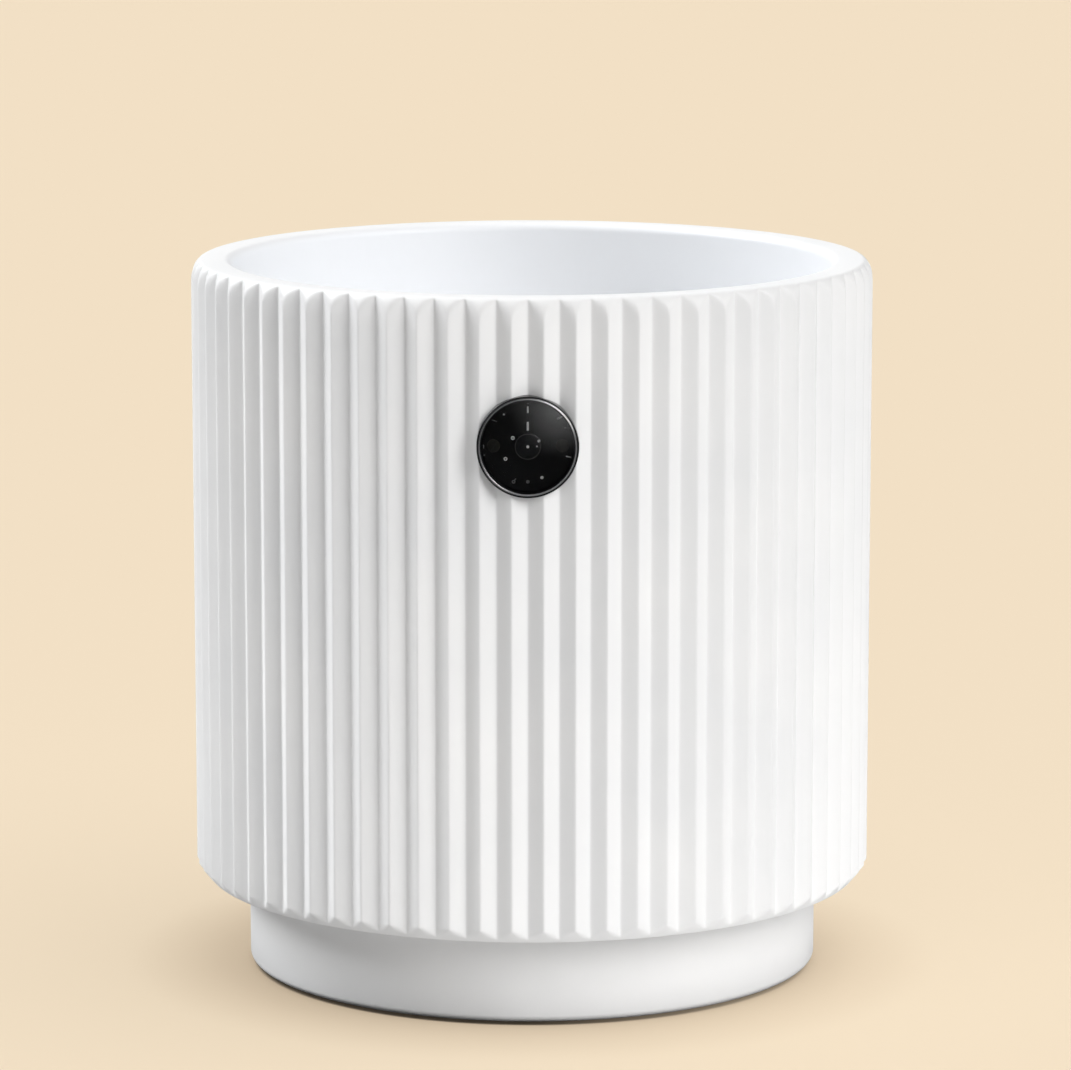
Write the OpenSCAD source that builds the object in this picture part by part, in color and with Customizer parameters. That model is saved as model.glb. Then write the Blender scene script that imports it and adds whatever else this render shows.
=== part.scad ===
// Fluted ceramic planter that stands in a drip saucer, with a dial soil gauge in its wall.
// Millimetres, +Z up, the front is towards -Y, the origin is at the middle of the resting face.

/* [Pot] */
// Diameter of the pot over the crests of its flutes
pot_d = 200; // [160:1:280]
// Height of the fluted body, from the underside of its skirt to the rim
pot_h = 183; // [120:1:260]
// Wall of the pot, from the valleys of the flutes to the inside
pot_wall = 9.6; // [7:0.1:14]
// Thickness of the pot's floor
floor_t = 10; // [7:0.5:16]
// Least wall between the foot ring's corner and the rounding inside
corner_wall = 7.5; // [5:0.5:10]
// Rounding between the inside wall and the floor
inside_round = 24; // [6:1:40]
// Depth of the rim's outer rounding, seen from above
rim_depth = 3.5; // [2.5:0.5:4]
// How far down the side the rim's outer rounding goes
rim_fall = 7; // [4:0.5:12]
// Rounding of the rim's inner edge
lip_round = 2.5; // [1:0.5:3]
// Depth of the skirt's rounding, seen from below
skirt_depth = 7; // [5:0.5:10]
// How far up the side the skirt's rounding goes
skirt_rise = 4.2; // [2.5:0.1:5]

/* [Flutes] */
// Number of flutes round the pot
flute_n = 70; // [40:2:100]
// Depth of a flute, from crest to valley
flute_depth = 2.4; // [1:0.1:3.5]

/* [Foot ring and drain] */
// Width of the foot ring's wall
foot_ring_w = 10; // [6:0.5:14]
// Number of notches that let water out of the foot ring
foot_notch_n = 4; // [2:1:6]
// Width of a notch
foot_notch_w = 14; // [8:1:24]
// Height of a notch
foot_notch_h = 6; // [3:0.5:10]
// Diameter of the drain hole
drain_d = 14; // [8:1:20]
// Diameter of the drain screen
screen_d = 44; // [32:1:60]
// Thickness of the drain screen
screen_t = 0.8; // [0.5:0.1:1.5]
// Width of an opening in the drain screen
screen_gap = 3; // [2:0.5:4]
// Width of a bar of the drain screen
screen_bar = 1.2; // [0.8:0.1:2]
// Width of the drain screen's plain border
screen_border = 2.5; // [2:0.5:5]

/* [Saucer] */
// Distance of the saucer's side inside the crests of the pot
saucer_inset = 15.75; // [8:0.25:30]
// Height of the saucer
saucer_h = 25.4; // [18:0.1:36]
// Wall of the saucer
saucer_wall = 6; // [4:0.5:9]
// Thickness of the saucer's floor
saucer_floor = 6.5; // [5:0.5:9]
// Rounding between the saucer's wall and floor, inside
saucer_inside_round = 5; // [2:0.5:8]
// Rounding of the saucer's lower outer edge
saucer_foot_round = 2; // [1:0.5:4]
// Rounding of both edges of the saucer's rim
saucer_rim_round = 1.5; // [0.5:0.5:2]
// Gap between the foot ring and the saucer's wall
foot_clear = 1.7; // [0.8:0.1:3]
// Open seam between the saucer's rim and the pot's skirt
skirt_seam = 0.8; // [0.5:0.1:3]
// Distance of the rubber pad's edge inside the saucer's side
pad_inset = 14.25; // [6:0.25:24]
// Thickness of the rubber pad
pad_t = 2; // [1.5:0.1:3]
// How far the pad stands out of its recess
pad_proud = 1; // [0.5:0.1:1.5]

/* [Gauge head] */
// Distance of the gauge's axis below the rim
gauge_drop = 41; // [30:0.1:60]
// Outside diameter of the case
case_d = 28.4; // [24:0.1:36]
// Thickness of the case's back
case_back_t = 1.4; // [1:0.1:2.5]
// Wall of the case round the dial
case_wall = 1.5; // [1.2:0.1:2.5]
// Wall of the case's thin front lip
case_lip = 0.45; // [0.4:0.05:0.8]
// Rounding of the case's front edge
case_round = 0.3; // [0.1:0.1:0.4]
// Thickness of the dial plate
dial_t = 0.5; // [0.3:0.1:0.8]
// Height of the two bosses under the dial plate
boss_h = 0.5; // [0.4:0.1:1.5]
// Diameter of a dial screw's head
screw_head_d = 3.6; // [2.5:0.1:4]
// Thickness of a dial screw's head
screw_head_t = 0.4; // [0.3:0.1:0.6]
// Diameter of a dial screw's shank
screw_d = 1.6; // [1:0.1:2]
// Distance of a dial screw's middle inside the dial's edge
screw_inset = 3.1; // [2.5:0.1:4]
// Thickness of the lens at its edge
lens_t = 1; // [0.8:0.1:2]
// Rise of the lens from its edge to its middle
lens_rise = 0.45; // [0.3:0.05:0.5]
// Thickness of the seal under the lens
seal_t = 0.4; // [0.3:0.1:1]
// Width of the seal and of the ledge that carries it
seal_w = 0.7; // [0.5:0.1:1]
// Width of the lens ring, seen from the front
ring_w = 0.5; // [0.45:0.05:1]
// Thickness of the lens ring
ring_t = 0.5; // [0.4:0.1:1]
// Depth of the lens ring behind the case's front edge
ring_recess = 0.1; // [0.05:0.05:0.3]
// How far the lens ring covers the lens
lens_hold = 0.25; // [0.2:0.05:0.3]
// Distance of the outer gasket's edge inside the case's edge
gasket_inset = 1; // [0.5:0.5:2]

/* [Pointer] */
// Diameter of the hub cap
hub_d = 7.6; // [5:0.1:9]
// Thickness of the hub cap
hub_t = 0.5; // [0.4:0.1:0.8]
// Distance of the pointer's tip inside the dial's edge
pointer_inset = 0.7; // [0.4:0.1:3]
// Width of the pointer at the hub
pointer_root_w = 0.8; // [0.6:0.1:1.6]
// Width of the pointer at its tip
pointer_tip_w = 0.5; // [0.3:0.1:0.6]
// Thickness of the pointer
pointer_t = 0.25; // [0.2:0.05:0.4]
// Diameter of the pointer's boss, under the hub cap
pointer_boss_d = 3.5; // [2.5:0.1:4.5]
// Diameter of the spindle
spindle_d = 1; // [0.8:0.05:1.2]
// How far the spindle stands out of the hub cap
spindle_proud = 0.1; // [0.05:0.05:0.3]
// Diameter of the collar at the spindle's inner end
collar_d = 2; // [1.6:0.1:2.4]
// Thickness of that collar
collar_t = 0.8; // [0.5:0.1:1.2]
// Diameter of the front bush
front_bush_d = 2.2; // [1.8:0.1:2.6]

/* [Stem and fixing] */
// Diameter of the threaded shank that goes through the wall
shank_d = 10; // [8:0.1:12]
// How deep the gauge's pocket is cut below the valleys at its edge
seat_depth = 2.4; // [0.1:0.1:3.5]
// How deep the flat inside the wall is cut
inner_seat_depth = 0.3; // [0.2:0.1:1]
// Length of shank left free behind the nut
shank_spare = 2; // [1:0.5:5]
// Thickness of the gasket outside the wall
wall_gasket_t = 0.8; // [0.6:0.1:2]
// Thickness of the gasket inside the wall
inner_gasket_t = 1; // [0.8:0.1:2]
// Diameter of the washer and of the gasket inside the wall
washer_d = 18; // [17:0.5:22]
// Thickness of the washer
washer_t = 1; // [0.8:0.1:2]
// Width of the nut across its flats
nut_flats = 14; // [14:0.5:17]
// Thickness of the nut
nut_t = 4; // [3:0.5:6]
// Outside diameter of the stem
stem_d = 4; // [3.4:0.1:5]
// Wall of the stem
stem_wall = 0.3; // [0.2:0.05:0.4]
// Length of the stem from the end of the shank to its tip
stem_reach = 52; // [45:1:70]
// Length of the solid tip of the stem
tip_len = 5; // [4:0.5:8]
// Length of the rear bush
rear_bush_len = 4; // [3:0.5:6]
// Number of turns of the bimetal helix
helix_turns = 12; // [6:1:14]
// Pitch of the bimetal helix
helix_pitch = 2; // [1.6:0.1:2.2]
// Width of the bimetal strip along the stem
strip_w = 0.6; // [0.5:0.05:0.8]
// Thickness of the bimetal strip
strip_t = 0.3; // [0.2:0.05:0.35]

/* [Clearances] */
// Gap round the gauge where it goes through the pot
gauge_clear = 0.3; // [0.2:0.05:0.6]
// Gap round a piece that is fitted into another
fit_clear = 0.03; // [0.02:0.01:0.05]
// Gap round the spindle where it turns
run_clear = 0.04; // [0.03:0.01:0.08]
// Gap between pieces that pass each other
pass_clear = 0.4; // [0.3:0.05:0.6]

/* [Hidden] */
$fn = 96;
// Tools that cut past a face go this far beyond it
over = 1;

// Heights of the stack, from the resting face up
saucer_z = pad_proud;
well_z = saucer_z + saucer_floor;
saucer_top = saucer_z + saucer_h;
skirt_z = saucer_top + skirt_seam;
rim_z = skirt_z + pot_h;
gauge_z = rim_z - gauge_drop;

// Widths of the pot, the saucer, the pad and the foot ring
crest_r = pot_d / 2;
crest_margin = 0.1;
saucer_d = pot_d - 2 * saucer_inset;
pad_d = saucer_d - 2 * pad_inset;
valley_r = crest_r - flute_depth;
inside_r = valley_r - pot_wall;
foot_r = saucer_d / 2 - saucer_wall - foot_clear;
foot_inside_r = foot_r - foot_ring_w;
// The foot ring's lower edge is rounder than the corner of the saucer that it stands in
foot_edge_round = saucer_inside_round + foot_clear;

// The floor sits high enough for a full wall between the skirt's inner corner and the inside rounding
round_reach = inside_round + corner_wall;
round_off = max(0, foot_r - (inside_r - inside_round));
floor_top = skirt_z + sqrt(round_reach ^ 2 - min(round_off, round_reach) ^ 2) - inside_round;
floor_z = floor_top - floor_t;

// The gauge stands on the floor of a round pocket in the wall, and its nut on a flat inside the wall
seat_d = case_d + 2 * gauge_clear;
seat_y = sqrt(valley_r ^ 2 - (seat_d / 2) ^ 2) - seat_depth;
inner_seat_y = inside_r + inner_seat_depth;
inner_seat_d = washer_d + 4 * gauge_clear;
wall_at_gauge = seat_y - inner_seat_y;
shank_hole_d = shank_d + 2 * gauge_clear;

// Places along the gauge's axis, from the pocket's floor, positive to the front
case_z = wall_gasket_t;
case_floor_z = case_z + case_back_t;
dial_z = case_floor_z + boss_h;
dial_top = dial_z + dial_t;
pointer_z = dial_top + screw_head_t + pass_clear;
hub_z = pointer_z + pointer_t;
spindle_top = hub_z + hub_t + spindle_proud;
seal_z = spindle_top;
lens_z = seal_z + seal_t;
ring_z = lens_z + lens_t;
case_front = ring_z + ring_t + ring_recess;
nut_z = -wall_at_gauge - inner_gasket_t - washer_t - nut_t;
shank_end = nut_z - shank_spare;
stem_end = shank_end - stem_reach;

// Diameters of the gauge, from the outside in
lip_d = case_d - 2 * case_lip;
ring_d = lip_d - 2 * fit_clear;
window_d = ring_d - 2 * ring_w;
lens_d = window_d + 2 * lens_hold;
dial_bore = case_d - 2 * case_wall;
dial_d = dial_bore - pass_clear;
screw_x = dial_d / 2 - screw_inset;
pointer_len = dial_d / 2 - pointer_inset;
wall_gasket_d = case_d - 2 * gasket_inset;
boss_d = screw_head_d;
stem_bore = stem_d - 2 * stem_wall;
stem_shoulder = case_z + case_back_t / 2;

// Places of the spindle, bush and helix in the stem
tip_dome = stem_d / 2;
helix_end = stem_end + tip_len + pass_clear;
helix_len = helix_turns * helix_pitch + strip_w;
spindle_end = helix_end + helix_len + pass_clear;
helix_r = (stem_bore - pass_clear - strip_t) / 2;
rear_bush_z = spindle_end + collar_t + pass_clear;

// A half section from the axis out to r, h high, with its two outer corners rounded
module rounded_half(r, h, low_round, high_round) {
    translate([0, low_round])
        square([r, h - low_round - high_round]);
    square([r - low_round, low_round]);
    if (high_round > 0)
        translate([0, h - high_round])
            square([r - high_round, high_round]);
    translate([r - low_round, low_round])
        circle(low_round);
    if (high_round > 0)
        translate([r - high_round, h - high_round])
            circle(high_round);
}

// Radius of an arc that leaves a line, runs this far along it and falls this far away from it
function arc_r(run, fall) = (run ^ 2 + fall ^ 2) / (2 * fall);

// A half section of the pot's body from the axis out to r, h high.
// The skirt's arc leaves the underside, and the rim's arc leaves the side.
module body_half(r, h) {
    skirt_r = arc_r(skirt_depth, skirt_rise);
    rim_r = arc_r(rim_fall, rim_depth);
    square([r - skirt_depth, h - rim_fall]);
    translate([0, skirt_rise])
        square([r, h - skirt_rise - rim_fall]);
    translate([0, h - rim_fall])
        square([r - rim_depth, rim_fall]);
    intersection() {
        square([r, skirt_rise]);
        translate([r - skirt_depth, skirt_r])
            circle(skirt_r);
    }
    intersection() {
        translate([0, h - rim_fall])
            square([r, rim_fall]);
        translate([r - rim_r, h - rim_fall])
            circle(rim_r);
    }
}

// A cylinder along the gauge's axis, between two places on it
module rod(d, from, to) {
    translate([0, 0, from])
        cylinder(d = d, h = to - from);
}

// A ring along the gauge's axis
module ring(d, hole, from, to) {
    difference() {
        rod(d, from, to);
        rod(hole, from - over, to + over);
    }
}

// Puts a piece that is drawn along +Z on the gauge's axis, facing the front
module at_gauge() {
    translate([0, -seat_y, gauge_z])
        rotate([90, 0, 0])
            children();
}

// Repeats a piece at the two dial screws
module at_screws() {
    for (side = [-1, 1])
        translate([side * screw_x, 0, 0])
            children();
}

// The fluted wall: a zigzag outline with a valley at the front, drawn up and trimmed by a rounded body.
// The body stands a little outside the crests, so that they end on its roundings and never touch its side.
module fluted_body() {
    outline = [for (i = [0 : 2 * flute_n - 1])
        let (turn = i * 180 / flute_n, r = i % 2 == 0 ? valley_r : crest_r)
        [r * sin(turn), -r * cos(turn)]];
    translate([0, 0, skirt_z])
        intersection() {
            linear_extrude(pot_h)
                polygon(outline);
            rotate_extrude()
                body_half(crest_r + crest_margin, pot_h);
        }
}

// The inside of the pot, with a flare that rounds the rim's inner edge
module pot_inside() {
    rotate_extrude() {
        translate([0, floor_top])
            rounded_half(inside_r, rim_z - floor_top + over, inside_round, 0);
        difference() {
            translate([inside_r - over, rim_z - lip_round])
                square([lip_round + over, lip_round + over]);
            translate([inside_r + lip_round, rim_z - lip_round])
                circle(lip_round);
        }
    }
}

// The foot ring's notches, spread evenly from the diagonal
module foot_notches() {
    for (i = [0 : foot_notch_n - 1])
        rotate(45 + i * 360 / foot_notch_n)
            translate([foot_inside_r - foot_ring_w, -foot_notch_w / 2, well_z - over])
                cube([3 * foot_ring_w, foot_notch_w, foot_notch_h + over]);
}

module fluted_pot() {
    color("white")
        difference() {
            union() {
                fluted_body();
                translate([0, 0, well_z])
                    rotate_extrude()
                        rounded_half(foot_r, skirt_z - well_z + skirt_rise, foot_edge_round, 0);
            }
            pot_inside();
            translate([0, 0, well_z - over])
                cylinder(r = foot_inside_r, h = floor_z - well_z + over);
            foot_notches();
            translate([0, 0, floor_z - over])
                cylinder(d = drain_d, h = floor_t + 2 * over);
            at_gauge() {
                rod(seat_d, 0, crest_r - seat_y + over);
                rod(shank_hole_d, -wall_at_gauge - over, over);
                rod(inner_seat_d, shank_end, -wall_at_gauge);
            }
        }
}

module drip_saucer() {
    well_r = saucer_d / 2 - saucer_wall;
    color("white")
        difference() {
            translate([0, 0, saucer_z])
                rotate_extrude()
                    rounded_half(saucer_d / 2, saucer_h, saucer_foot_round, saucer_rim_round);
            translate([0, 0, well_z])
                rotate_extrude() {
                    rounded_half(well_r, saucer_h, saucer_inside_round, 0);
                    difference() {
                        translate([well_r - over, saucer_h - saucer_floor - saucer_rim_round])
                            square(saucer_rim_round + over);
                        translate([well_r + saucer_rim_round, saucer_h - saucer_floor - saucer_rim_round])
                            circle(saucer_rim_round);
                    }
                }
            cylinder(d = pad_d + 2 * gauge_clear, h = pad_t);
        }
}

module base_pad() {
    color("dimgray")
        cylinder(d = pad_d, h = pad_t);
}

module drain_screen() {
    pitch = screen_gap + screen_bar;
    mesh_r = screen_d / 2 - screen_border;
    half_n = floor(mesh_r / pitch);
    color("darkslategray")
        translate([0, 0, floor_top])
            linear_extrude(screen_t)
                difference() {
                    circle(d = screen_d);
                    for (i = [-half_n : half_n], j = [-half_n : half_n]) {
                        far_corner = pitch * [abs(i), abs(j)] + [screen_gap, screen_gap] / 2;
                        if (norm(far_corner) < mesh_r)
                            translate([i * pitch, j * pitch])
                                square(screen_gap, center = true);
                    }
                }
}

module gauge_case() {
    color("black")
        at_gauge()
            difference() {
                union() {
                    difference() {
                        translate([0, 0, case_z])
                            rotate_extrude()
                                rounded_half(case_d / 2, case_front - case_z, case_round, case_round);
                        rod(dial_bore, case_floor_z, case_front + over);
                        rod(lip_d, seal_z, case_front + over);
                    }
                    at_screws()
                        rod(boss_d, case_floor_z - case_back_t / 2, dial_z);
                    rod(shank_d, shank_end, case_z + case_back_t / 2);
                }
                at_screws()
                    rod(screw_d + 2 * fit_clear, case_floor_z - case_back_t / 2, dial_z + over);
                rod(stem_d + 2 * fit_clear, shank_end - over, stem_shoulder);
                rod(front_bush_d + 2 * fit_clear, case_z - over, case_floor_z + over);
            }
}

module lens_ring() {
    color("silver")
        at_gauge()
            ring(ring_d, window_d, ring_z, ring_z + ring_t);
}

module gauge_lens() {
    // The front is a cap of a large sphere, so its outline takes fine steps
    cap_edge = window_d / 2 - fit_clear;
    cap_r = arc_r(cap_edge, lens_rise);
    color("lightgray", 0.3)
        at_gauge()
            translate([0, 0, lens_z])
                rotate_extrude() {
                    square([lens_d / 2, lens_t]);
                    intersection() {
                        square([lens_d / 2, lens_t + ring_t]);
                        translate([0, lens_t + lens_rise - cap_r])
                            circle(cap_r, $fn = 720);
                    }
                }
}

module lens_seal() {
    color("dimgray")
        at_gauge()
            ring(lens_d, lens_d - 2 * seal_w, seal_z, lens_z);
}

module dial_plate() {
    color("black")
        at_gauge()
            difference() {
                rod(dial_d, dial_z, dial_top);
                rod(spindle_d + 2 * pass_clear, dial_z - over, dial_top + over);
                at_screws()
                    rod(screw_d + 2 * fit_clear, dial_z - over, dial_top + over);
            }
}

module dial_screws() {
    color("black")
        at_gauge()
            at_screws() {
                rod(screw_d, case_floor_z - case_back_t / 2, dial_top);
                rod(screw_head_d, dial_top, dial_top + screw_head_t);
            }
}

module pointer() {
    blade = [[-pointer_root_w / 2, 0], [pointer_root_w / 2, 0],
        [pointer_tip_w / 2, pointer_len], [-pointer_tip_w / 2, pointer_len]];
    color("white")
        at_gauge()
            translate([0, 0, pointer_z])
                linear_extrude(pointer_t)
                    difference() {
                        union() {
                            circle(d = pointer_boss_d);
                            polygon(blade);
                        }
                        circle(d = spindle_d + 2 * fit_clear);
                    }
}

module pointer_hub() {
    color("black")
        at_gauge()
            ring(hub_d, spindle_d + 2 * fit_clear, hub_z, hub_z + hub_t);
}

module spindle() {
    color("silver")
        at_gauge() {
            rod(spindle_d, spindle_end, spindle_top);
            rod(collar_d, spindle_end, spindle_end + collar_t);
        }
}

module front_bush() {
    color("gold")
        at_gauge()
            ring(front_bush_d, spindle_d + 2 * run_clear, stem_shoulder, case_floor_z);
}

module rear_bush() {
    color("gold")
        at_gauge()
            translate([0, 0, rear_bush_z])
                ring(stem_bore - 2 * fit_clear, spindle_d + 2 * run_clear, 0, rear_bush_len);
}

// A flat strip wound on a helix: its four corners are carried round in steps
module bimetal_helix() {
    turn_steps = 12;
    steps = turn_steps * helix_turns;
    corners = [[-strip_t / 2, 0], [strip_t / 2, 0], [strip_t / 2, strip_w], [-strip_t / 2, strip_w]];
    points = [for (i = [0 : steps], c = corners)
        let (turn = i * 360 / turn_steps, r = helix_r + c[0])
        [r * cos(turn), r * sin(turn), i * helix_pitch / turn_steps + c[1]]];
    sides = [for (i = [0 : steps - 1], k = [0 : 3])
        let (a = 4 * i + k, b = 4 * i + (k + 1) % 4)
        each [[a, a + 4, b], [b, a + 4, b + 4]]];
    last = 4 * steps;
    ends = [[0, 1, 2], [0, 2, 3], [last, last + 2, last + 1], [last, last + 3, last + 2]];
    color("peru")
        at_gauge()
            translate([0, 0, helix_end])
                polyhedron(points, concat(sides, ends));
}

module stem_tube() {
    color("silver")
        at_gauge()
            ring(stem_d, stem_bore, stem_end + tip_dome, stem_shoulder);
}

module stem_tip() {
    color("silver")
        at_gauge() {
            translate([0, 0, stem_end + tip_dome])
                intersection() {
                    sphere(d = stem_d);
                    rod(2 * stem_d, -stem_d, 0);
                }
            rod(stem_bore - 2 * fit_clear, stem_end + tip_dome / 2, stem_end + tip_len);
        }
}

module wall_gasket() {
    color("dimgray")
        at_gauge()
            ring(wall_gasket_d, shank_hole_d, 0, wall_gasket_t);
}

module inner_gasket() {
    color("dimgray")
        at_gauge()
            ring(washer_d, shank_hole_d, -wall_at_gauge - inner_gasket_t, -wall_at_gauge);
}

module nut_washer() {
    color("silver")
        at_gauge()
            ring(washer_d, shank_hole_d, nut_z + nut_t, nut_z + nut_t + washer_t);
}

// A hexagon with its corners turned off at both faces
module lock_nut() {
    corner_d = nut_flats / cos(30);
    chamfer = (corner_d - nut_flats) / 2 * tan(30);
    color("silver")
        at_gauge()
            difference() {
                intersection() {
                    translate([0, 0, nut_z])
                        cylinder(d = corner_d, h = nut_t, $fn = 6);
                    translate([0, 0, nut_z])
                        rotate_extrude()
                            polygon([[0, 0], [nut_flats / 2, 0], [corner_d / 2, chamfer],
                                [corner_d / 2, nut_t - chamfer], [nut_flats / 2, nut_t], [0, nut_t]]);
                }
                rod(shank_d + 2 * fit_clear, nut_z - over, nut_z + nut_t + over);
            }
}

fluted_pot();
drip_saucer();
base_pad();
drain_screen();
gauge_case();
lens_ring();
gauge_lens();
lens_seal();
dial_plate();
dial_screws();
pointer();
pointer_hub();
spindle();
front_bush();
rear_bush();
bimetal_helix();
stem_tube();
stem_tip();
wall_gasket();
inner_gasket();
nut_washer();
lock_nut();
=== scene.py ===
"""Looks of a fluted ceramic planter with a dial soil gauge in its wall.

Lengths are in metres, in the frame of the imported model: +Z up, the gauge at the front towards -Y.
Along the gauge's axis, "depth" counts from the floor of its pocket in the wall, positive to the front.
"""

import math

import bmesh
import bpy
import numpy as np
from bpy.props import FloatProperty, FloatVectorProperty, IntProperty, PointerProperty
from bpy.types import Operator, Panel, PropertyGroup
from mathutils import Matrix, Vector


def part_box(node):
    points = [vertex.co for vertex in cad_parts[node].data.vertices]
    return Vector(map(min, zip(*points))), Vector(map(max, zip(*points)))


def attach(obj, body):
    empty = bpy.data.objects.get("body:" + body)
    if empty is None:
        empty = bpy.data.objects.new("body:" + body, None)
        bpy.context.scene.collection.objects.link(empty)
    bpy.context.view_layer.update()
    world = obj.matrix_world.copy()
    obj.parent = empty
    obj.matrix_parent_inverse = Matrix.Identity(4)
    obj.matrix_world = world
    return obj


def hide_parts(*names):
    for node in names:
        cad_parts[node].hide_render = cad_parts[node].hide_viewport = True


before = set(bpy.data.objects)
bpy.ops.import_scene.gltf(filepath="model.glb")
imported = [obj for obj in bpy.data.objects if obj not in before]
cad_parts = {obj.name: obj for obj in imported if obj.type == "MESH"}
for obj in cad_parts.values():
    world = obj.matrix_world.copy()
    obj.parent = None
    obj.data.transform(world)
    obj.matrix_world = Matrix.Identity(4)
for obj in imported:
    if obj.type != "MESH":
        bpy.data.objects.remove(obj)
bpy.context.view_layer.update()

bl_info = {
    "name": "Fluted Planter",
    "version": (1, 0, 0),
    "blender": (4, 5, 0),
    "location": "View3D > Sidebar > Planter",
    "description": "Builds a glazed fluted planter, its drip saucer and its dial soil gauge",
    "category": "Object",
}

MM = 0.001
# The picture that the camera is set for, in pixels
PICTURE_WIDTH = 1071
SENSOR_WIDTH = 36.0
# Angles in degrees past which an edge stays sharp
SHARP = 35.0
POT_SHARP = 40.0
# Lengths below which points are merged and edges dissolved
MERGE = 0.0002 * MM
SLIVER = 0.0001 * MM
# Rows of points on the pot's skirt, rim and lip, and along the gauge's thread
SKIRT_ROWS, RIM_ROWS, LIP_ROWS, THREAD_ROWS = 12, 18, 6, 25
# How far the cuts in the pot reach: to the front and back of the pocket's floor, and past the foot ring
CUT_FRONT, CUT_BACK = 12 * MM, -24 * MM
NOTCH_OUT, NOTCH_IN, NOTCH_DOWN = 5 * MM, 7 * MM, 3 * MM
CAMERA_END = 100.0
WHITE = (1.0, 1.0, 1.0, 1.0)
BLACK = (0.0, 0.0, 0.0, 1.0)

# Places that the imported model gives
POT_LOW, POT_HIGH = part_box("fluted_pot")
SAUCER_LOW, SAUCER_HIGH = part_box("drip_saucer")
PAD_LOW, PAD_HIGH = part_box("base_pad")
SCREEN_LOW, SCREEN_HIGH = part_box("drain_screen")
SEAT_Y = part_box("wall_gasket")[1].y
GAUGE_Z = (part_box("wall_gasket")[0].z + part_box("wall_gasket")[1].z) / 2


def length(title, text, millimetres):
    """A length property whose default is written in millimetres."""
    return FloatProperty(
        name=title, description=text, default=millimetres * MM, unit="LENGTH", precision=5
    )


def share(title, text, value):
    """A property from 0 to 1."""
    return FloatProperty(name=title, description=text, default=value, min=0.0, max=1.0, subtype="FACTOR")


def angle(title, text, degrees):
    """An angle property whose default is written in degrees."""
    return FloatProperty(name=title, description=text, default=math.radians(degrees), subtype="ANGLE")


def from_side(title, text, azimuth, elevation):
    """Where a light stands, in degrees: its turn from the front to the right, and its height."""
    stands = (math.radians(azimuth), math.radians(elevation))
    return FloatVectorProperty(name=title, description=text, default=stands, size=2, unit="ROTATION")


def amount(title, text, value):
    """A property of 0 or more."""
    return FloatProperty(name=title, description=text, default=value, min=0.0)


def colour(title, text, red, green, blue):
    """A linear colour property."""
    rgba = (red, green, blue, 1.0)
    return FloatVectorProperty(
        name=title, description=text, default=rgba, size=4, min=0.0, max=1.0, subtype="COLOR"
    )


class PotSizes(PropertyGroup):
    """Sizes of the glazed pot."""

    flute_count: IntProperty(name="Flutes", description="Number of flutes round the pot", default=70, min=12)
    flute_depth: length("Flute depth", "Depth from a crest to a valley", 2.4)
    crest_soft: share("Crest softness", "Rounding of a crest, as a share of half a flute", 0.045)
    valley_soft: share("Valley softness", "Glaze pooled in a valley, as a share of half a flute", 0.06)
    runout_soft: length("Run-out softness", "Rounding where a flute runs out at the rim or the skirt", 0.22)
    crest_margin: length("Crest margin", "How far the trimming outline stands outside the crests", 0.1)
    wall: length("Wall", "Wall from the valleys to the inside", 9.6)
    rim_depth: length("Rim depth", "Depth of the rim's outer rounding, seen from above", 3.5)
    rim_height: length("Rim height", "Height of the rim's outer rounding", 7.0)
    skirt_depth: length("Skirt depth", "Depth of the skirt's lower chamfer, seen from below", 3.4)
    skirt_height: length("Skirt height", "Height of the skirt's lower chamfer", 4.0)
    skirt_lift: length("Skirt lift", "How far the skirt's lower edge stands above its underside", 0.45)
    skirt_round: length("Skirt rounding", "Rounding of the skirt's lower edge", 0.4)
    lip_round: length("Lip rounding", "Rounding of the rim's inner edge", 2.5)
    inside_round: length("Inside rounding", "Rounding between the inside wall and the floor", 24.0)
    floor: length("Floor", "Thickness of the floor", 10.0)
    seam: length("Skirt seam", "Open seam between the saucer's rim and the skirt", 0.8)
    foot_gap: length("Foot gap", "Distance of the foot ring inside the saucer's side", 7.7)
    foot_width: length("Foot ring", "Width of the foot ring's wall", 10.0)
    foot_round: length("Foot rounding", "Rounding of the foot ring's outer edge", 6.7)
    notch_width: length("Notch width", "Width of a drain notch in the foot ring", 14.0)
    notch_height: length("Notch height", "Height of a drain notch in the foot ring", 6.0)
    drain_radius: length("Drain radius", "Radius of the drain hole", 7.0)
    drain_round: length("Drain rounding", "Rounding of the drain hole's edges", 0.8)
    hollow_round: length("Hollow rounding", "Rounding between the foot ring and the floor over it", 2.0)
    foot_inner_round: length("Inner foot rounding", "Rounding of the foot ring's inner edge", 1.0)
    pocket_rows: length("Pocket rows", "Distance of the rows of points near the gauge's pocket", 15.5)


class SaucerSizes(PropertyGroup):
    """Sizes of the saucer and of the drain screen."""

    wall: length("Wall", "Wall of the saucer", 6.0)
    floor: length("Floor", "Thickness of the saucer's floor", 6.5)
    foot_round: length("Foot rounding", "Rounding of the lower outer edge", 2.0)
    rim_round: length("Rim rounding", "Rounding of both edges of the rim", 1.5)
    inside_round: length("Inside rounding", "Rounding between the wall and the floor", 5.0)
    pad_gap: length("Pad gap", "Gap round the pad in its recess", 0.3)
    mesh_pitch: length("Mesh pitch", "Spacing of the strands of the drain screen", 4.2)
    strand_width: length("Strand width", "Width of a strand of the drain screen", 1.2)
    border: length("Screen border", "Width of the drain screen's border", 2.5)
    strand_share: share("Strand share", "Height of a strand, as a share of the drain screen's", 0.56)


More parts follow.
